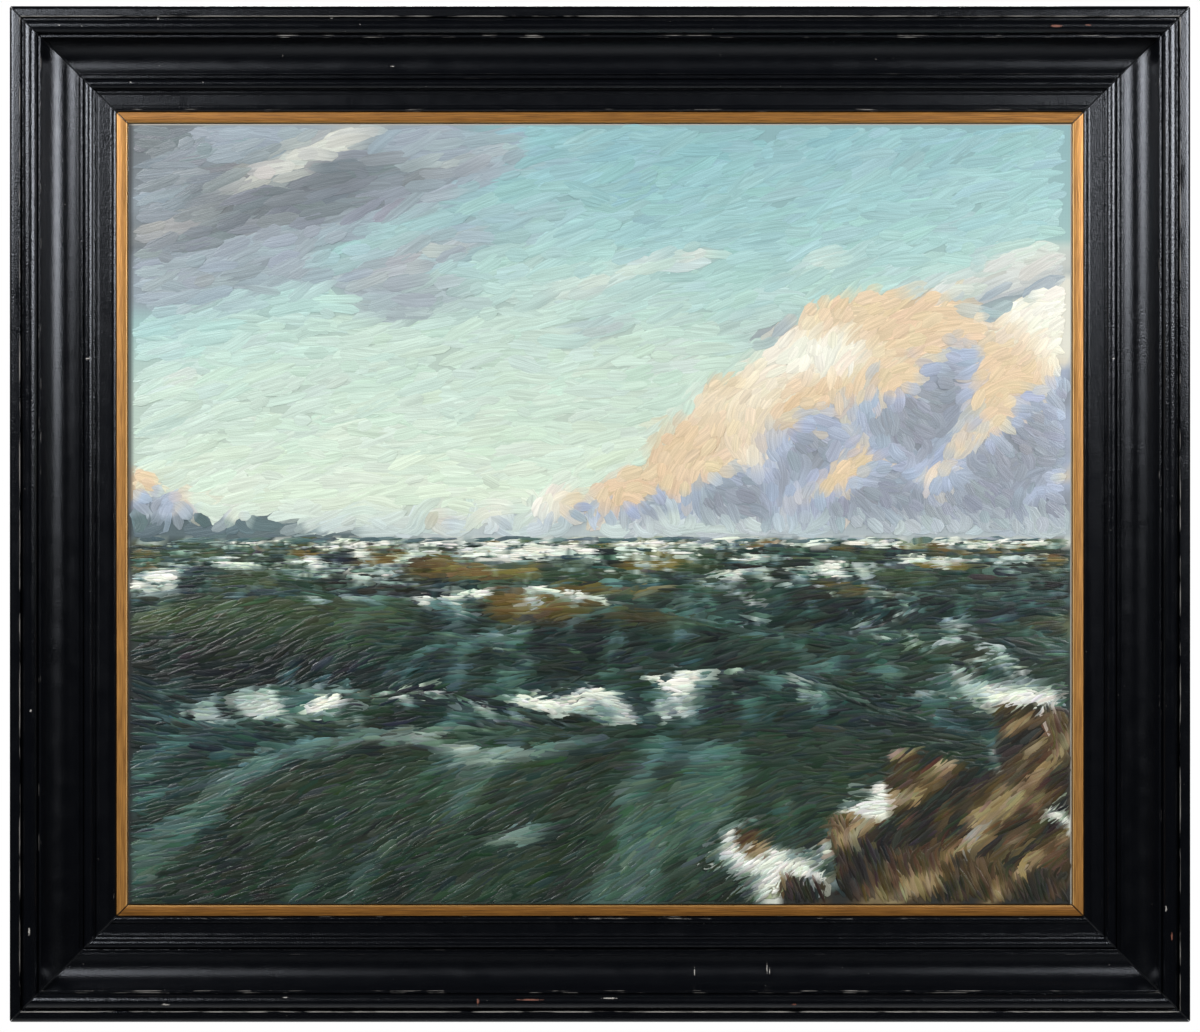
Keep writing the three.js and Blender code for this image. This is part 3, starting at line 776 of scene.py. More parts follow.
@functools.lru_cache(maxsize=1)
def sea_picture(horizon, columns=640, rows=250):
    """The sea as the eye sees it over a grid: colour, foam, direction of the brush, and where it is."""
    across = (np.arange(columns) + 0.5) / columns * WIDE
    up = (np.arange(rows) + 0.5) / rows * (horizon + CREST_ROOM)
    depth = np.geomspace(NEAREST, FARTHEST, 1100)
    side = (across - 0.42 * WIDE)[:, None] / REACH
    x, y = side * depth, np.broadcast_to(depth, (columns, len(depth)))
    height, breaking = sea_height(x, y)
    height = height * (1 - 0.5 * ease(60, 400, y))
    step = 0.12
    slope_x = (sea_height(x + step, y)[0] - height) / step
    slope_y = (sea_height(x, y + step)[0] - height) / step
    # what a column of the picture sees: the nearest water that stands as high as the line of sight
    skyline = np.maximum.accumulate(horizon + REACH * (height - EYE) / y, axis=1)
    index = np.stack([np.searchsorted(line, up) for line in skyline])
    water = index < len(depth)
    index = np.minimum(index, len(depth) - 1)
    x, y, h, sx, sy, crest = (
        np.take_along_axis(values, index, 1) for values in (x, y, height, slope_x, slope_y, breaking)
    )
    haze = ease(40, 420, y)
    ripple = cloudy(x * 1.1 + 3, (y + 0.2) * 2.2, 4, 231) - cloudy(x * 1.1 + 3, y * 2.2, 4, 231)
    tilt = sy + 1.6 * ripple * (1 - 0.6 * haze)
    length = np.sqrt(x * x + y * y + (EYE - h) ** 2)
    facing = np.clip((sx * x + tilt * y + (EYE - h)) / (length * np.sqrt(1 + sx**2 + tilt**2)), 0, 1)
    face = ease(0.02, 0.55, facing)
    lift = ease(0.05, 1.15, h) * (0.45 + 0.55 * ease(6, 14, y))
    drag = cloudy(x * 3.2 - 1.3 * y, y * 0.8 + x * 0.5, 4, 237)
    clear = ease(0.42, 0.6, cloudy(x * 0.25 + 2, y * 0.2, 2, 243))
    amber = ease(0.50, 0.66, cloudy(x * 0.3 + 9, y * 0.22, 2, 247))
    colour = glazed(
        PAINTS["teal"],
        ("deep", ease(0.35, 0.7, cloudy(x * 0.35, y * 0.5, 4, 239))),
        ("green", 0.8 * ease(0.4, 0.75, cloudy(x * 0.22 + 5, y * 0.3, 3, 241))),
        ("glint", 0.5 * ease(0.56, 0.72, drag) * (1 - haze)),
        ("deep", 0.6 * ease(0.50, 0.34, drag) * (1 - haze)),
        ("glass", 0.75 * lift * face * clear),
        ("ochre", 0.7 * ease(0.5, 1.0, lift) * face * amber),
    )
    # light off the water, strongest on a wandering path under the brightest sky
    glow = np.exp(-(((x / y + 0.10 + 0.05 * np.sin(y * 0.7)) / 0.15) ** 2))
    patch = ease(0.35, 0.6, cloudy(x * 0.8 + 11, y * 1.5, 4, 249))
    sheen = ease(0.30, 0.85, (1 - facing) ** 3) * (0.22 + 0.45 * glow) * (0.35 + 0.65 * patch)
    colour = blend(colour, glazed(PAINTS["glint"], ("low_sky", 0.8 * glow)), sheen)
    trough = ease(0.10, -0.45, h) * ease(0.1, 0.4, facing)
    colour = glazed(colour, ("deep", 0.75 * trough), ("far_sea", 0.7 * haze))
    # foam: caps on breaking crests, what trails behind them, and thin veins over the troughs
    lace = cloudy(x * 1.9 + 0.6 * y, y * 1.3, 5, 251)
    cap = ease(0.62, 0.84, crest + 0.55 * (lace - 0.5)) * ease(0.38, 0.5, lace)
    trail = ease(0.25, 0.7, crest) * ease(0.54, 0.68, cloudy(x * 2.6 + y * 1.2, y * 0.9, 4, 269)) * 0.7
    vein = 1 - np.abs(2 * cloudy(x * 0.55 + 0.3 * np.sin(y), y * 0.40, 4, 257) - 1)
    vein = ease(0.965, 0.995, vein) * ease(0.45, 0.65, cloudy(x * 0.12, y * 0.1, 2, 263)) * 0.6
    foam = np.maximum(np.maximum(cap, trail) * (1 - 0.8 * haze), vein * (1 - haze))
    colour = glazed(colour, ("grey_foam", 0.85 * ease(0.12, 0.5, foam)), ("foam", ease(0.45, 0.9, foam)))
    # the brush follows the swell's contour, and runs up its steeper faces
    out, on = 0.38, 0.93
    rise = sx * out + sy * on - (h - EYE) / y * on
    steep = ease(0.30, 0.65, facing) * 0.35
    angle = np.arctan2((1 - steep) * sx + steep * rise, (1 - steep) + steep * (out - x / y * on))
    return colour, foam, angle, water


def grid_cell(x, y, horizon):
    """Where points of the picture lie on the grid that the sea is worked out on."""
    columns, rows = sea_picture(horizon)[3].shape
    column = np.clip((x / WIDE * columns).astype(int), 0, columns - 1)
    row = np.clip((y / (horizon + CREST_ROOM) * rows).astype(int), 0, rows - 1)
    return column, row


def cloud_field(x, y, horizon):
    ragged = 0.085 * (cloudy(x * 7, y * 7, 5, 57) - 0.5) + 0.03 * (cloudy(x * 24, y * 24, 3, 58) - 0.5)
    solid = np.full(np.shape(x), -1.0)
    for across, rise, radius in CLOUD_HEADS:
        dx, dy = (x - across) / 1.2, y - (horizon + rise)
        solid = np.maximum(solid, radius - np.sqrt(dx * dx + dy * dy) + ragged * (0.35 + 6 * radius))
    return solid


def cloud_bank(x, y, horizon):
    """How solid the bank is, and how lit from the upper left, both from 0 to 1."""
    field = cloud_field(x, y, horizon)
    light = (field - cloud_field(x - 0.022, y + 0.024, horizon)) / 0.032
    base = ease(0.0, 0.10, y - horizon - 0.01)
    lit = 0.5 + 0.42 * light - 0.35 * ease(0.035, 0.10, field) + 0.35 * (base - 0.7)
    return ease(0.0, 0.010, field) * (0.25 + 0.75 * ease(0.0, 0.035, y - horizon - 0.004)), np.clip(lit, 0, 1)


def veil_field(x, y):
    lean = y - 0.32 * x
    return cloudy(x * 1.5 + 1.1 * lean + 4, lean * 4.6 + 2, 5, 29)


def sky_colour(x, y, horizon):
    up = (y - horizon) / (1 - horizon)
    drift = cloudy(x * 2.2 + 3, y * 3.0, 4, 11) - 0.5
    veil = veil_field(x, y)
    lit = (veil - veil_field(x - 0.035, y + 0.03)) * 7
    where = ease(0.18, 0.42, up) * (1 - 0.5 * ease(0.55, 1.0, x) * ease(0.5, 0.9, up))
    colour = glazed(
        PAINTS["low_sky"],
        ("open_sky", ease(0.0, 0.4, up + 0.25 * drift)),
        ("high_sky", ease(0.4, 0.75, up + 0.35 * drift - 0.12 * (x - 0.6))),
        ("zenith", ease(0.6, 1.0, up + 0.4 * drift - 0.15 * (x - 0.6))),
        ("veil", 0.9 * ease(0.50, 0.57, veil) * where),
        ("slate", 0.85 * ease(0.58, 0.70, veil) * where),
        ("cream", 0.75 * ease(0.15, 0.8, lit) * ease(0.47, 0.52, veil) * where),
    )
    solid, height = cloud_bank(x, y, horizon)
    warm = ease(0.5, 0.66, cloudy(x * 4 + 8, y * 5, 3, 41))
    crown = glazed(PAINTS["cream"], ("peach", 0.85 * warm))
    puff = blend(glazed(PAINTS["shadow"], ("lilac", ease(0.12, 0.4, height))), crown, ease(0.4, 0.62, height))
    return glazed(blend(colour, puff, solid), ("lilac", 0.5 * ease(0.10, 0.0, up)))


def rock_field(x, y):
    ragged = 0.075 * (cloudy(x * 9, y * 9, 4, 113) - 0.5)
    solid = np.full(np.shape(x), -1.0)
    for across, height, radius in ROCKS:
        dx, dy = x - across, (y - height) * 1.3
        reach = np.abs(dx * 0.8 + dy * 0.6) * 0.55 + np.sqrt(dx * dx + dy * dy) * 0.6
        solid = np.maximum(solid, radius - reach + ragged * (0.3 + 6 * radius))
    return solid


def crag_height(x, y):
    """Relief of the rock: slanting beds broken by cracks."""
    beds = cloudy((x * 0.8 + y * 0.6) * 5, (y * 0.8 - x * 0.6) * 15, 3, 127)
    return rock_field(x, y) * 5 + beds * 1.3 + 0.35 * cloudy(x * 30, y * 30, 2, 128)


def rock_share(x, y):
    """How much of the place is rock, how lit it is, and how near the waterline around it."""
    field = rock_field(x, y)
    light = 0.42 + (crag_height(x, y) - crag_height(x - 0.010, y + 0.012)) * 1.9
    return ease(0.0, 0.006, field), np.clip(light, 0, 1), ease(-0.055, 0.0, field)


def design(x, y, horizon):
    """Colours of the invented view at points of the picture, in sRGB, and how much foam lies there."""
    sea, foam, _, water = sea_picture(horizon)
    cell = grid_cell(x, y, horizon)
    wet = water[cell] & (y < horizon + CREST_ROOM)
    colour = sky_colour(x, y, horizon)
    ridge = horizon + 0.030 * ease(0.45, 0.02, x) * (0.6 + 0.8 * cloudy(x * 7, x * 0, 4, 131))
    land = glazed(PAINTS["far_land"], ("teal", 0.5 * cloudy(x * 20, y * 60, 3, 137)))
    colour = blend(colour, land, 0.85 * ease(0.0, 0.003, ridge - y))
    colour = np.where(wet[..., None], sea[cell], colour)
    foam = np.where(wet, foam[cell], 0)
    rock, light, wash = rock_share(x, y)
    surf = wash * (1 - rock) * ease(0.42, 0.6, cloudy(x * 14, y * 18, 5, 139)) * wet
    colour = glazed(colour, ("grey_foam", 0.7 * ease(0.1, 0.5, surf)), ("foam", ease(0.4, 0.9, surf)))
    dry = ("umber", ease(0.25, 0.5, light)), ("lit_rock", ease(0.52, 0.75, light))
    stone = glazed(PAINTS["rock"], *dry, ("veil", 0.5 * ease(0.8, 1.0, light)))
    colour = blend(colour, stone, rock)
    return np.clip(colour, 0, 1), np.maximum(foam, surf) * (1 - rock)


def brush_angle(x, y, horizon):
    """Direction of the brush at each point, in radians from the horizontal."""
    step = 0.012
    across = veil_field(x + step, y) - veil_field(x - step, y)
    upward = veil_field(x, y + step) - veil_field(x, y - step)
    along_veil = np.arctan(-across / (upward + 0.02 * np.sign(upward + 1e-9)))
    lift = cloud_field(x + step, y, horizon) - cloud_field(x - step, y, horizon)
    fall = cloud_field(x, y + step, horizon) - cloud_field(x, y - step, horizon)
    round_cloud = np.arctan2(lift, -fall)
    sky = 0.30 + 0.35 * np.clip(along_veil - 0.3, -1.2, 1.2) + 0.5 * (cloudy(x * 3, y * 3, 2, 151) - 0.5)
    tumble = 0.45 * round_cloud + 1.0 * (cloudy(x * 5, y * 5, 3, 155) - 0.5) + 0.35
    sky = np.where(cloud_field(x, y, horizon) > -0.004, tumble, sky)
    sea = sea_picture(horizon)[2][grid_cell(x, y, horizon)]
    slab = np.where(cloudy(x * 9, y * 9, 2, 153) > 0.5, 0.65, 1.9)
    angle = np.where(y > horizon, sky, sea)
    return np.where(rock_field(x, y) > 0.002, slab, angle)


def store_paint(mesh, colours):
    """Stores the sRGB colours of the mesh's points as its paint."""
    rgba = np.ones((len(colours), 4), np.float32)
    rgba[:, :3] = np.where(colours <= 0.04045, colours / 12.92, ((colours + 0.055) / 1.055) ** 2.4)
    store(mesh, "paint", "FLOAT_COLOR", rgba)


# ---------------------------------------------------------------- brush strokes
BAKE_WIDTH = 1024  # texels of the map that the strokes' colours are baked to, with two between strokes
LEVEL_SPREAD = 0.12 * MM  # spread of the level that strokes of one layer lie at

# Width and length in metres, points along a stroke, how thickly it lays the paint, how far off the
# canvas in metres, and how much its direction strays, in radians
Brush = collections.namedtuple("Brush", "width length points body level unsteady")


def stroke_tree():
    """Gives each spine the body of a loaded brush stroke, stands it on the canvas and unrolls it."""
    tree, given = new_tree("brush_strokes", [("Face", "Float"), ("Paint", "Material")])
    value = given.outputs
    spine = put(tree, "GeometryNodeMeshToCurve", {"Mesh": value["Geometry"]})
    upright = put(tree, "GeometryNodeSetCurveNormal", {"Curve": spine}, mode="Z_UP")
    travelled = put(tree, "GeometryNodeSplineParameter").outputs["Length"]
    marked = put(
        tree, "GeometryNodeStoreNamedAttribute",
        {"Geometry": upright, "Name": "travelled", "Value": travelled}, data_type="FLOAT",
    )
    # section of a stroke: edges sunk into the ground, ridges where the bristles push the paint aside
    ridge = [(-1, -0.03), (-0.78, 0.10), (0.0, 0.06), (0.80, 0.115), (1, -0.03)]
    line = put(tree, "GeometryNodeMeshLine", {"Count": len(ridge), "Offset": (1, 0, 0)})
    index = put(tree, "GeometryNodeInputIndex")
    across, rise = None, None
    for number, (side, height) in enumerate(ridge):
        here = put(tree, "FunctionNodeCompare", {2: index, 3: number}, data_type="INT", operation="EQUAL")
        across = put(tree, "GeometryNodeSwitch", {0: here, 1: across or 0.0, 2: side}, input_type="FLOAT")
        rise = put(tree, "GeometryNodeSwitch", {0: here, 1: rise or 0.0, 2: height}, input_type="FLOAT")
    shaped = put(
        tree, "GeometryNodeSetPosition",
        {"Geometry": line, "Position": put(tree, "ShaderNodeCombineXYZ", {"X": across, "Y": rise})},
    )
    named = put(
        tree, "GeometryNodeStoreNamedAttribute",
        {"Geometry": shaped, "Name": "across", "Value": across}, data_type="FLOAT",
    )
    profile = put(tree, "GeometryNodeMeshToCurve", {"Mesh": named})
    half, body, lift, side, length, scale = (
        put(tree, "GeometryNodeInputNamedAttribute", {"Name": name}, data_type="FLOAT")
        for name in ("half_width", "body", "lift", "across", "travelled", "cell_scale")
    )
    origin, cell = (
        put(tree, "GeometryNodeInputNamedAttribute", {"Name": name}, data_type="FLOAT_VECTOR")
        for name in ("bristles", "cell")
    )
    swept = put(tree, "GeometryNodeCurveToMesh", {"Curve": marked, "Profile Curve": profile, "Scale": half})
    place = put(tree, "ShaderNodeSeparateXYZ", {0: put(tree, "GeometryNodeInputPosition")}).outputs
    # the sweep sets the section head down along +Z, so its height is taken off
    thick = put(tree, "ShaderNodeMath", {0: place["Z"], 1: body}, operation="MULTIPLY")
    raised = put(tree, "ShaderNodeMath", {0: lift, 1: thick}, operation="SUBTRACT")
    front = put(tree, "ShaderNodeMath", {0: raised, 1: value["Face"]}, operation="ADD")
    facing = put(tree, "ShaderNodeMath", {0: front, 1: -1}, operation="MULTIPLY")
    stood = put(tree, "ShaderNodeCombineXYZ", {"X": place["X"], "Y": facing, "Z": place["Y"]})
    on_canvas = put(tree, "GeometryNodeSetPosition", {"Geometry": swept, "Position": stood})
    sideways = put(tree, "ShaderNodeMath", {0: side, 1: half}, operation="MULTIPLY")
    flat = put(tree, "ShaderNodeCombineXYZ", {"X": length, "Y": sideways})
    moved = put(tree, "ShaderNodeVectorMath", {0: flat, 1: origin}, operation="ADD")
    mapped = put(
        tree, "GeometryNodeStoreNamedAttribute",
        {"Geometry": on_canvas, "Name": "bristle_map", "Value": moved},
        data_type="FLOAT2", domain="CORNER",
    )
    shrunk = put(tree, "ShaderNodeVectorMath", {0: flat, "Scale": scale}, operation="SCALE")
    packed = put(tree, "ShaderNodeVectorMath", {0: shrunk, 1: cell}, operation="ADD")
    baked = put(
        tree, "GeometryNodeStoreNamedAttribute",
        {"Geometry": mapped, "Name": "OFBake", "Value": packed},
        data_type="FLOAT2", domain="CORNER",
    )
    real = put(tree, "GeometryNodeRealizeInstances", {"Geometry": baked})
    painted = put(tree, "GeometryNodeSetMaterial", {"Geometry": real, "Material": value["Paint"]})
    put(tree, "NodeGroupOutput", {"Geometry": painted})
    return tree


def stroke_cells(lengths, widths):
    """Packs one rectangle for each stroke into the unit square: its corners, and the common scale."""
    order = np.argsort(-widths)
    side = math.sqrt(float(np.sum(lengths * widths)) * 1.12)
    gap = 2 * side / BAKE_WIDTH
    while True:
        x = y = row = 0.0
        cells = np.zeros((len(lengths), 2))
        for i in order:
            if x + lengths[i] + gap > side:
                x, y, row = 0.0, y + row + gap, 0.0
            cells[i] = x, y + widths[i] / 2
            x += lengths[i] + gap
            row = max(row, widths[i])
        if y + row <= side:
            return cells / side, 1 / side
        side *= 1.03


def drawn_spines(random, starts, brush, horizon):
    """Where each stroke runs, in picture heights, and its width in metres."""
    height = CANVAS_HEIGHT
    count, points = len(starts), brush.points
    widths = brush.width * random.uniform(0.7, 1.25, count)
    lengths = brush.length * random.uniform(0.65, 1.3, count)
    # distant water is laid in with short flat touches
    near_horizon = ease(0.10, 0.0, np.abs(starts[:, 1] - horizon + 0.02)) * (starts[:, 1] < horizon)
    widths, lengths = widths * (1 - 0.45 * near_horizon), lengths * (1 - 0.25 * near_horizon)
    spine = np.zeros((count, points, 2))
    turn = random.normal(0, brush.unsteady, count) * (1 - 0.7 * near_horizon)
    heading = random.choice([-1.0, 1.0], count)
    at = starts.copy()
    way = np.zeros((count, 2))
    step = (lengths / height / (points - 1))[:, None]
    for k in range(points):
        spine[:, k] = at
        angle = brush_angle(at[:, 0], at[:, 1], horizon) * (1 - near_horizon) + turn
        pull = np.stack([np.cos(angle), np.sin(angle)], 1) * heading[:, None]
        # the brush turns at most half way towards the new direction, and never doubles back
        pull *= np.where((pull * way).sum(1) < 0, -1.0, 1.0)[:, None]
        way = way + pull
        way /= np.linalg.norm(way, axis=1)[:, None]
        at = at + step * way
    # paint stops a little short of the canvas's edge at the top and right, and nearly reaches it elsewhere
    low = np.repeat((widths / 2 + 0.2 * MM)[:, None] / height, 2, axis=1)
    high = np.array([WIDE, 1.0]) - (widths[:, None] / 2 + 0.9 * MM) / height
    # and strokes of the sky and of the sea keep to their own side of the horizon
    in_sky = starts[:, 1] > horizon
    low[in_sky, 1] = horizon + 0.4 * widths[in_sky] / height
    high[~in_sky, 1] = horizon - 0.3 * widths[~in_sky] / height
    inward = np.maximum(low - spine.min(1), 0) - np.maximum(spine.max(1) - high, 0)
    spine += inward[:, None]
    return spine, widths


def lay_strokes(name, random, starts, settings, brush, tree, paint):
    """One layer of strokes as one piece. Starts are in picture heights from the lower left corner."""
    horizon = settings.horizon
    spine, widths = drawn_spines(random, starts, brush, horizon)
    count, points, _ = spine.shape
    middle = spine[:, points // 2]
    colour, foam = design(middle[:, 0], middle[:, 1], horizon)
    along = [design(spine[:, k, 0], spine[:, k, 1], horizon)[0] for k in range(points)]
    # the sky is laid in quietly and blended, the sea with a loaded brush
    lively = ease(horizon + 0.01, horizon - 0.01, middle[:, 1])
    loaded = lively + (1 - lively) * ease(0.72, 0.9, colour.mean(1))
    shades = blend(np.stack(along, 1), colour[:, None], np.full((count, points), 0.5))
    jitter = random.normal(0, 0.012, (count, 1, 3)) + random.normal(0, 0.022, (count, 1, 1))
    shades = np.clip(shades + jitter * (0.45 + 0.75 * lively[:, None, None]), 0, 1)
    t = np.linspace(0, 1, points)
    taper = np.minimum(1, 0.25 + 5.5 * t) * np.minimum(1, 0.12 + 3.2 * (1 - t))
    half = widths[:, None] / 2 * taper * random.uniform(0.88, 1.08, (count, points))
    # the mesh of spines, in the plane of the picture
    mesh = bpy.data.meshes.new(name)
    total = count * points
    flat = np.zeros((total, 3))
    flat[:, 0] = CANVAS_LOW.x + spine[..., 0].reshape(-1) * CANVAS_HEIGHT
    flat[:, 1] = CANVAS_LOW.z + spine[..., 1].reshape(-1) * CANVAS_HEIGHT
    first = (np.arange(count)[:, None] * points + np.arange(points - 1)).reshape(-1)
    mesh.from_pydata(flat.tolist(), np.stack([first, first + 1], 1).tolist(), [])
    travelled = np.linalg.norm(np.diff(spine, axis=1), axis=2).sum(1) * CANVAS_HEIGHT
    cells, scale = stroke_cells(travelled, widths * 1.1)
    thick = random.uniform(0.5, 1.2, count) * (0.35 + 0.65 * loaded)
    store(mesh, "half_width", "FLOAT", half)
    # foam carries the thickest paint
    store(mesh, "body", "FLOAT", np.repeat(thick, points) * brush.body * (1 + 0.9 * np.repeat(foam, points)))
    store(mesh, "lift", "FLOAT", np.repeat(brush.level + random.uniform(0, LEVEL_SPREAD, count), points))
    store(mesh, "cell_scale", "FLOAT", np.full(total, scale))
    offsets = random.uniform(0, 40, (count, 2))
    for key, corners in (("bristles", offsets), ("cell", cells)):
        store(mesh, key, "FLOAT_VECTOR", np.repeat(np.pad(corners, ((0, 0), (0, 1))), points, axis=0))
    store_paint(mesh, shades.reshape(-1, 3))
    made = evaluated(linked(name, mesh), tree, {"Face": CANVAS_FACE, "Paint": paint})
    made.shade_smooth()
    for leftover in ("half_width", "body", "lift", "cell_scale", "cell", "bristles", "travelled", "across"):
        if leftover in made.attributes:
            made.attributes.remove(made.attributes[leftover])
    piece(f"strokes_{name}", made, "painted_canvas")


def scattered(random, count):
    """Points spread evenly but irregularly over the picture, in a shuffled order."""
    columns = int(math.sqrt(count * WIDE))
    rows = int(count / columns)
    x, y = np.meshgrid(np.arange(columns), np.arange(rows))
    x = (x.reshape(-1) + random.uniform(0, 1, x.size)) / columns * WIDE
    y = (y.reshape(-1) + random.uniform(0, 1, y.size)) / rows
    points = np.stack([x, y], 1)
    return points[random.permutation(len(points))]


def oil_paint():
    """Oil colour worked with a hog brush and varnished: streaked, ridged and glossy."""
    material, tree = new_material("oil_paint")
    tone = put(tree, "ShaderNodeAttribute", attribute_name="paint").outputs["Color"]
    plan = put(tree, "ShaderNodeUVMap", uv_map="bristle_map")
    # bristle tracks 1 mm apart, running on for about 25 mm
    tracks = stretched_noise(tree, plan, (40, 1000, 1), 3.0, 0.6)
    # half-mixed colour that the brush carries, in streaks 3 mm wide
    streak = stretched_noise(tree, plan, (22, 420, 1), 2.0)
    value = put(
        tree, "ShaderNodeMapRange",
        {"Value": tracks, "From Min": 0.25, "From Max": 0.75, "To Min": 0.86, "To Max": 1.12},
    )
    value_two = put(
        tree, "ShaderNodeMapRange",
        {"Value": streak, "From Min": 0.3, "From Max": 0.7, "To Min": 0.88, "To Max": 1.12},
    )
    both = put(tree, "ShaderNodeMath", {0: value, 1: value_two}, operation="MULTIPLY")
    toned = put(tree, "ShaderNodeVectorMath", {0: tone, "Scale": both}, operation="SCALE")
    crumb = put(tree, "ShaderNodeTexNoise", {"Vector": plan, "Scale": 900.0, "Detail": 2.0})
    relief = put(tree, "ShaderNodeMath", {0: crumb, 1: 0.7, 2: tracks}, operation="MULTIPLY_ADD")
    bump = put(tree, "ShaderNodeBump", {"Height": relief, "Strength": 0.6, "Distance": 0.35 * MM})
    return finished(material, {
        "Base Color": toned, "Roughness": 0.4, "IOR": 1.48, "Normal": bump,
        "Coat Weight": 0.35, "Coat Roughness": 0.16, "Coat IOR": 1.48, "Coat Normal": bump,
    })


def weave(tree, place, pitch, distortion, detail, detail_scale, crossing):
    """Height of plainly woven threads, level and upright ones joined by the crossing operation."""
    warp, weft = (
        put(
            tree, "ShaderNodeTexWave",
            {
                "Vector": place, "Scale": 1 / pitch / WAVES_TO_A_UNIT, "Distortion": distortion,
                "Detail": detail, "Detail Scale": detail_scale,
            },
            bands_direction=direction, wave_profile="SIN",
        )
        for direction in ("X", "Z")
    )
    return put(tree, "ShaderNodeMath", {0: warp.outputs["Fac"], 1: weft.outputs["Fac"]}, operation=crossing)


def canvas_ground():
    """Primed canvas under thin first paint: matt, with the weave just showing."""
    material, tree = new_material("primed_canvas")
    tone = put(tree, "ShaderNodeAttribute", attribute_name="paint").outputs["Color"]
    here = put(tree, "ShaderNodeTexCoord").outputs["Object"]
    # threads 1.1 mm apart, a little coarser than real so that they show
    threads = weave(tree, here, 1.1 * MM, 0.4, 1.0, 0.5, "MAXIMUM")
    bump = put(tree, "ShaderNodeBump", {"Height": threads, "Strength": 0.4, "Distance": 0.15 * MM})
    return finished(material, {"Base Color": tone, "Roughness": 0.6, "IOR": 1.48, "Normal": bump})


def raw_linen():
    """Unprimed linen of the back and the turned edges: flax brown, matt, plainly woven."""
    material, tree = new_material("raw_linen")
    here = put(tree, "ShaderNodeTexCoord").outputs["Object"]
    # threads 1.6 mm apart, twice the real pitch so that the weave shows from a step away
    threads = weave(tree, here, 1.6 * MM, 0.6, 2.0, 0.7, "MULTIPLY")
    slubs = put(tree, "ShaderNodeTexNoise", {"Vector": here, "Scale": 60.0, "Detail": 5.0})
    share = put(tree, "ShaderNodeMath", {0: threads, 1: slubs}, operation="ADD")
    spread = put(tree, "ShaderNodeMapRange", {"Value": share, "From Min": 0.3, "From Max": 1.3})
    tone = put(
        tree, "ShaderNodeMix", {"Factor": spread, 6: linear(0x6F5F49), 7: linear(0xA8967A)}, data_type="RGBA"
    )
    bump = put(tree, "ShaderNodeBump", {"Height": threads, "Strength": 0.6, "Distance": 0.3 * MM})
    return finished(material, {"Base Color": tone, "Roughness": 0.9, "IOR": 1.5, "Normal": bump})


# ---------------------------------------------------------------- operators


class PICTURE_OT_frame_rails(bpy.types.Operator):
    """Sweep, mitre and age the four rails of the ebonised frame"""

    bl_idname = "picture.frame_rails"
    bl_label = "Frame rails"

    def execute(self, context):
        settings = context.scene.picture_moulding
        section = frame_profile(), ARRIS, FRAME_WEAR_AND_HIGHLIGHT, FRAME_POLISH
        mitred_sides(
            "ebonised_rail", "frame_rail", "ebonised_wood", section, moulding_tree(), settings,
            ebonised_wood(settings), bare_frame_wood(settings), LEDGE + 1 * MM, 88, CORNER_RADIUS,
        )
        return {"FINISHED"}


class PICTURE_OT_slips(bpy.types.Operator):
    """Sweep and mitre the four gilt slips inside the frame"""

    bl_idname = "picture.slips"
    bl_label = "Gilt slips"

    def execute(self, context):
        settings = context.scene.picture_moulding
        section = slip_profile(), SLIP_ARRIS, SLIP_WEAR_AND_HIGHLIGHT, SLIP_POLISH
        mitred_sides(
            "gilt_slip", "slip", "gilt_wood", section, moulding_tree(), settings,
            gilt_wood(settings), bare_frame_wood(settings), LEDGE + 1 * MM, 150,
        )
        return {"FINISHED"}


TURNOVER = 12 * MM  # cloth folded on to the strainer's back
FOLD = 0.8 * MM  # radius of the canvas's edges
BEND = FOLD * math.pi / 2  # cloth in one such edge
CLOTH = 0.5 * MM  # thickness of the canvas, inwards from its outer skin
CANVAS_DEPTH = CANVAS_FACE - CANVAS_BACK
EXTRA = CANVAS_DEPTH - 3 * FOLD + 2 * BEND + TURNOVER  # cloth past the face on each side
GRID = 6.5 * MM  # spacing of the lines that the cloth is ruled with
BORDER = np.array([13.2, 9.0, 5.0, 1.6]) * MM  # finer lines of the grid, measured in from the edges
BARE_EDGE, DARK_LEFT_EDGE = 1.2 * MM, 1.7 * MM  # margins of the face without paint, and darker along the left


def folded(distance, half):
    """Where a thread that runs out from the middle lies: sideways, and back from the face."""
    first = half - FOLD
    straight = CANVAS_DEPTH - 2 * FOLD
    s = np.abs(distance)
    bend = np.clip(s - first, 0, BEND) / FOLD
    side = np.clip(s - first - BEND, 0, straight)
    second = np.clip(s - first - BEND - straight, 0, BEND) / FOLD
    flap = np.clip(s - first - 2 * BEND - straight, 0, None)
    across = np.clip(s, 0, first) + FOLD * np.sin(bend) - FOLD * (1 - np.cos(second)) - flap
    back = FOLD * (1 - np.cos(bend)) + side + FOLD * np.sin(second)
    return np.sign(distance) * across, back


def grid_lines(half):
    """Distances from the middle at which the cloth is ruled, dense where it turns over."""
    edge, flap = half - FOLD, half + EXTRA - TURNOVER
    turns = np.concatenate([
        np.linspace(edge, edge + BEND, 5)[:-1],
        np.linspace(edge + BEND, flap - 1 * MM, 6)[:-1],
        np.linspace(flap - 1 * MM, flap + 2 * MM, 6)[:-1],
        np.linspace(flap + 2 * MM, half + EXTRA, 4),
    ])
    margin = half - BORDER
    inside = np.linspace(-margin[0], margin[0], int(2 * half / GRID))
    return np.concatenate([-turns[::-1], -margin[:0:-1], inside, margin[1:], turns])


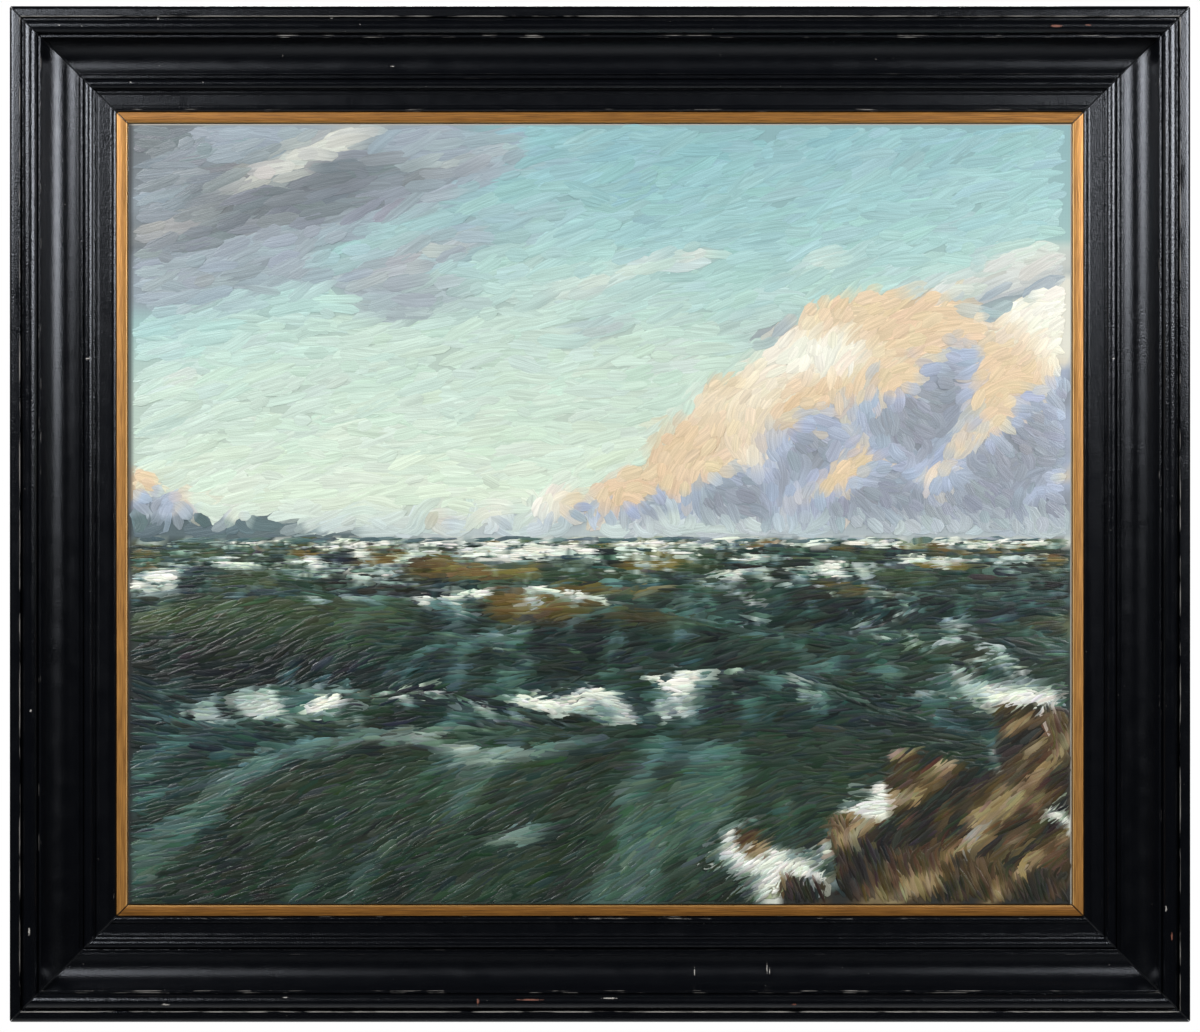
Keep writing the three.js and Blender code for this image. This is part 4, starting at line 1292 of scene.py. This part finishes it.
class PICTURE_OT_canvas(bpy.types.Operator):
    """Stretch the canvas: face, turned edges and the flaps behind"""

    bl_idname = "picture.canvas"
    bl_label = "Canvas"

    def execute(self, context):
        mesh, points = self.cloth()
        self.prime(mesh, points, context.scene.picture_painting.horizon)
        canvas = piece("linen_canvas", mesh, "painted_canvas", "canvas")
        solid = canvas.modifiers.new("Thickness", "SOLIDIFY")
        solid.thickness = CLOTH
        solid.offset = -1
        solid.material_offset = 1
        solid.material_offset_rim = 1
        return {"FINISHED"}

    def cloth(self):
        """The canvas's outer skin, folded round the strainer with its corners cut away, and its points."""
        half_w, half_h = CANVAS_WIDTH / 2, CANVAS_HEIGHT / 2
        a, b = np.meshgrid(grid_lines(half_w), grid_lines(half_h), indexing="ij")
        x, back_x = folded(a, half_w)
        z, back_z = folded(b, half_h)
        y = -CANVAS_FACE + np.maximum(back_x, back_z)
        points = np.stack([x + MIDDLE.x, y, z + MIDDLE.z], -1).reshape(-1, 3)
        columns, rows = a.shape
        out_w = np.abs(a[:-1, :-1] + a[1:, 1:]) / 2 - half_w
        out_h = np.abs(b[:-1, :-1] + b[1:, 1:]) / 2 - half_h
        # the side flaps run into the corners and the top and bottom ones stop short of them
        lapped = (out_h > EXTRA - TURNOVER) & (out_w > -BORDER[0])
        keep = ~(((out_w > 0) & (out_h > 0)) | lapped).reshape(-1)
        i, j = np.meshgrid(np.arange(columns - 1), np.arange(rows - 1), indexing="ij")
        base = (i * rows + j).reshape(-1)[keep]
        faces = np.stack([base, base + rows, base + rows + 1, base + 1], 1)
        mesh = bpy.data.meshes.new("linen_canvas")
        mesh.from_pydata(points.tolist(), [], faces.tolist())
        return mesh, points

    def prime(self, mesh, points, horizon):
        """Gives the face its ground in the design's colours, and the rest bare linen."""
        right, up = points[:, 0] - CANVAS_LOW.x, points[:, 2] - CANVAS_LOW.z
        tone, _ = design(np.clip(right / CANVAS_HEIGHT, 0, WIDE), np.clip(up / CANVAS_HEIGHT, 0, 1), horizon)
        # bare priming shows along the top and right edges, and the face is darker along the left one
        bare = np.maximum(right - CANVAS_WIDTH, up - CANVAS_HEIGHT) > -BARE_EDGE
        tone = np.where(bare[:, None], tint(0x908C82), 0.9 * tone)
        tone = np.where((right < DARK_LEFT_EDGE)[:, None], 0.45 * tone, tone)
        store_paint(mesh, tone)
        mesh.materials.append(canvas_ground())
        mesh.materials.append(raw_linen())
        mesh.validate()
        centres = np.array([face.center[:] for face in mesh.polygons])
        behind = centres[:, 1] > 0.3 * FOLD - CANVAS_FACE
        mesh.polygons.foreach_set("material_index", behind.astype(np.int32))
        mesh.shade_smooth()


class PICTURE_OT_paint(bpy.types.Operator):
    """Paint the invented shore view in layers of raised strokes, broad first"""

    bl_idname = "picture.paint"
    bl_label = "Brushwork"

    def execute(self, context):
        settings = context.scene.picture_painting
        random = np.random.default_rng(settings.seed)
        tree, paint = stroke_tree(), oil_paint()
        broad = Brush(settings.broad, 60 * MM, 9, 0.22, 0.05 * MM, 0.16)
        medium = Brush(settings.medium, 34 * MM, 8, 0.32, 0.2 * MM, 0.15)
        small = Brush(settings.small, 24 * MM, 7, 0.45, 0.35 * MM, 0.10)
        rigger = Brush(settings.fine, 21 * MM, 7, 0.7, 0.45 * MM, 0.10)
        dab = Brush(1.9 * settings.small, 15 * MM, 5, 0.35, 0.35 * MM, 0.20)
        fleck = Brush(settings.fine, 10 * MM, 5, 0.9, 0.5 * MM, 0.16)
        # name, brush, strokes tried over the whole picture, whether in the sky, and the share of them
        # that is kept everywhere and on top of that on clouds or foam
        layers = [
            ("sky_broad", broad, 1500, True, 1, 0), ("sea_broad", broad, 1500, False, 1, 0),
            ("sky_medium", medium, 3400, True, 0.75, 0.25), ("sea_medium", medium, 4200, False, 1, 0),
            ("sky_dabs", dab, 6500, True, 0.04, 0.6), ("sea_small", small, 9500, False, 0.62, 0.05),
            ("sea_fine", rigger, 17000, False, 0.34, 0), ("foam_fine", fleck, 22000, False, 0.04, 0.96),
        ]
        for name, brush, count, in_sky, everywhere, on_lights in layers:
            starts = scattered(random, count)
            starts = starts[(starts[:, 1] > settings.horizon) == in_sky]
            _, foam = design(starts[:, 0], starts[:, 1], settings.horizon)
            lights = cloud_bank(starts[:, 0], starts[:, 1], settings.horizon)[0] if in_sky else foam
            starts = starts[random.uniform(0, 1, len(starts)) < everywhere + on_lights * lights]
            lay_strokes(name, random, starts, settings, brush, tree, paint)
        return {"FINISHED"}


class PICTURE_OT_back_fittings(bpy.types.Operator):
    """Give the strainer its pine and the plates and screws their steel"""

    bl_idname = "picture.back_fittings"
    bl_label = "Strainer and fittings"

    def execute(self, context):
        level, upright, steel = strainer_pine("x"), strainer_pine("z"), zinc_steel()
        for name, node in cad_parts.items():
            if name.startswith("strainer_bar"):
                finish = level if name.endswith(("top", "bottom")) else upright
            elif name.startswith(("retaining_plate", "frame_screw", "strainer_screw")):
                finish = steel
            else:
                continue
            for slot in node.material_slots:
                slot.material = finish
        return {"FINISHED"}


class PICTURE_OT_stage(bpy.types.Operator):
    """Set the camera, the pale floor, the two tall side lights and the soft front light"""

    bl_idname = "picture.stage"
    bl_label = "Stage"

    def execute(self, context):
        settings = context.scene.picture_stage
        scene = context.scene
        lens = bpy.data.cameras.new("camera")
        lens.lens = lens.sensor_width * settings.camera_distance / settings.view_width
        camera = linked("camera", lens)
        camera.location = (MIDDLE.x, -SLIP_FACE - settings.camera_distance, MIDDLE.z - CAMERA_DROP)
        camera.rotation_euler = (math.pi / 2, 0, 0)
        scene.camera = camera
        scene.view_settings.view_transform = "Standard"
        self.light("side_light_left", (-1.5, -1.3, 0.58), (1.4, 0.85), settings.key_power)
        self.light("side_light_right", (1.5, -1.3, 0.30), (1.4, 0.6), 0.74 * settings.key_power)
        self.light("back_light", (0.0, 2.2, 0.7), (1.6, 1.0), settings.back_power)
        self.light("front_light", (0.0, -2.4, 0.9), (1.0, 0.5), settings.fill_power)
        self.floor(settings.floor_drop)
        world = bpy.data.worlds.new("studio")
        world.use_nodes = True
        world.node_tree.nodes.clear()
        tree = world.node_tree
        seen = put(tree, "ShaderNodeBackground", {"Color": linear(0xFFFFFF), "Strength": 1.0})
        shed = put(tree, "ShaderNodeBackground", {"Color": linear(0xE8ECF2), "Strength": 0.015})
        ray = put(tree, "ShaderNodeLightPath").outputs["Is Camera Ray"]
        both = put(tree, "ShaderNodeMixShader", {0: ray, 1: shed, 2: seen})
        put(tree, "ShaderNodeOutputWorld", {"Surface": both})
        scene.world = world
        return {"FINISHED"}

    def light(self, name, place, size, power):
        lamp = bpy.data.lights.new(name, "AREA")
        lamp.shape = "RECTANGLE"
        lamp.size, lamp.size_y = size
        lamp.energy = power
        lamp.spread = math.radians(110)
        holder = linked(name, lamp)
        holder.location = place
        aim = Vector((MIDDLE.x, -SLIP_FACE, MIDDLE.z)) - Vector(place)
        holder.rotation_euler = aim.to_track_quat("-Z", "Y").to_euler()

    def floor(self, drop):
        level = CAD_BOX[0][2] - drop
        reach = 3.4
        mesh = bpy.data.meshes.new("studio_floor")
        square = (-1, -1), (1, -1), (1, 1), (-1, 1)
        corners = [(reach * x, reach * y, level) for x, y in square]
        mesh.from_pydata(corners, [], [(0, 1, 2, 3)])
        material, tree = new_material("floor_paint")
        paint = put(tree, "ShaderNodeBsdfPrincipled", {"Base Color": linear(0xE4E4E2), "Roughness": 0.9})
        # it looks pale to the camera without throwing light up under the frame
        pale = put(tree, "ShaderNodeEmission", {"Color": linear(0xDADAD8), "Strength": 1.0})
        seen = put(tree, "ShaderNodeLightPath").outputs["Is Camera Ray"]
        share = put(tree, "ShaderNodeMath", {0: seen, 1: 0.8}, operation="MULTIPLY")
        shader = put(tree, "ShaderNodeMixShader", {0: share, 1: paint, 2: pale})
        put(tree, "ShaderNodeOutputMaterial", {"Surface": shader})
        mesh.materials.append(material)
        floor = linked("studio_floor", mesh)


class PICTURE_PT_panel(bpy.types.Panel):
    """Lists the steps and their settings"""

    bl_label = "Framed oil painting"
    bl_idname = "PICTURE_PT_panel"
    bl_space_type = "VIEW_3D"
    bl_region_type = "UI"
    bl_category = "Picture"

    def draw(self, context):
        for step in STEPS:
            self.layout.operator(step.bl_idname)
        for settings in SETTINGS:
            group = getattr(context.scene, settings)
            box = self.layout.box()
            for name in group.__annotations__:
                box.prop(group, name)


STEPS = (
    PICTURE_OT_stage, PICTURE_OT_frame_rails, PICTURE_OT_slips, PICTURE_OT_canvas, PICTURE_OT_paint,
    PICTURE_OT_back_fittings,
)
SETTINGS = {
    "picture_moulding": MouldingSettings,
    "picture_painting": PaintingSettings,
    "picture_stage": StageSettings,
}
CLASSES = (*SETTINGS.values(), *STEPS, PICTURE_PT_panel)


def register():
    for cls in CLASSES:
        bpy.utils.register_class(cls)
    for name, group in SETTINGS.items():
        setattr(bpy.types.Scene, name, bpy.props.PointerProperty(type=group))


def unregister():
    for name in SETTINGS:
        delattr(bpy.types.Scene, name)
    for cls in reversed(CLASSES):
        bpy.utils.unregister_class(cls)


def main():
    register()
    bpy.ops.picture.stage()
    bpy.ops.picture.frame_rails()
    bpy.ops.picture.slips()
    bpy.ops.picture.canvas()
    bpy.ops.picture.paint()
    bpy.ops.picture.back_fittings()


if __name__ == "__main__":
    main()
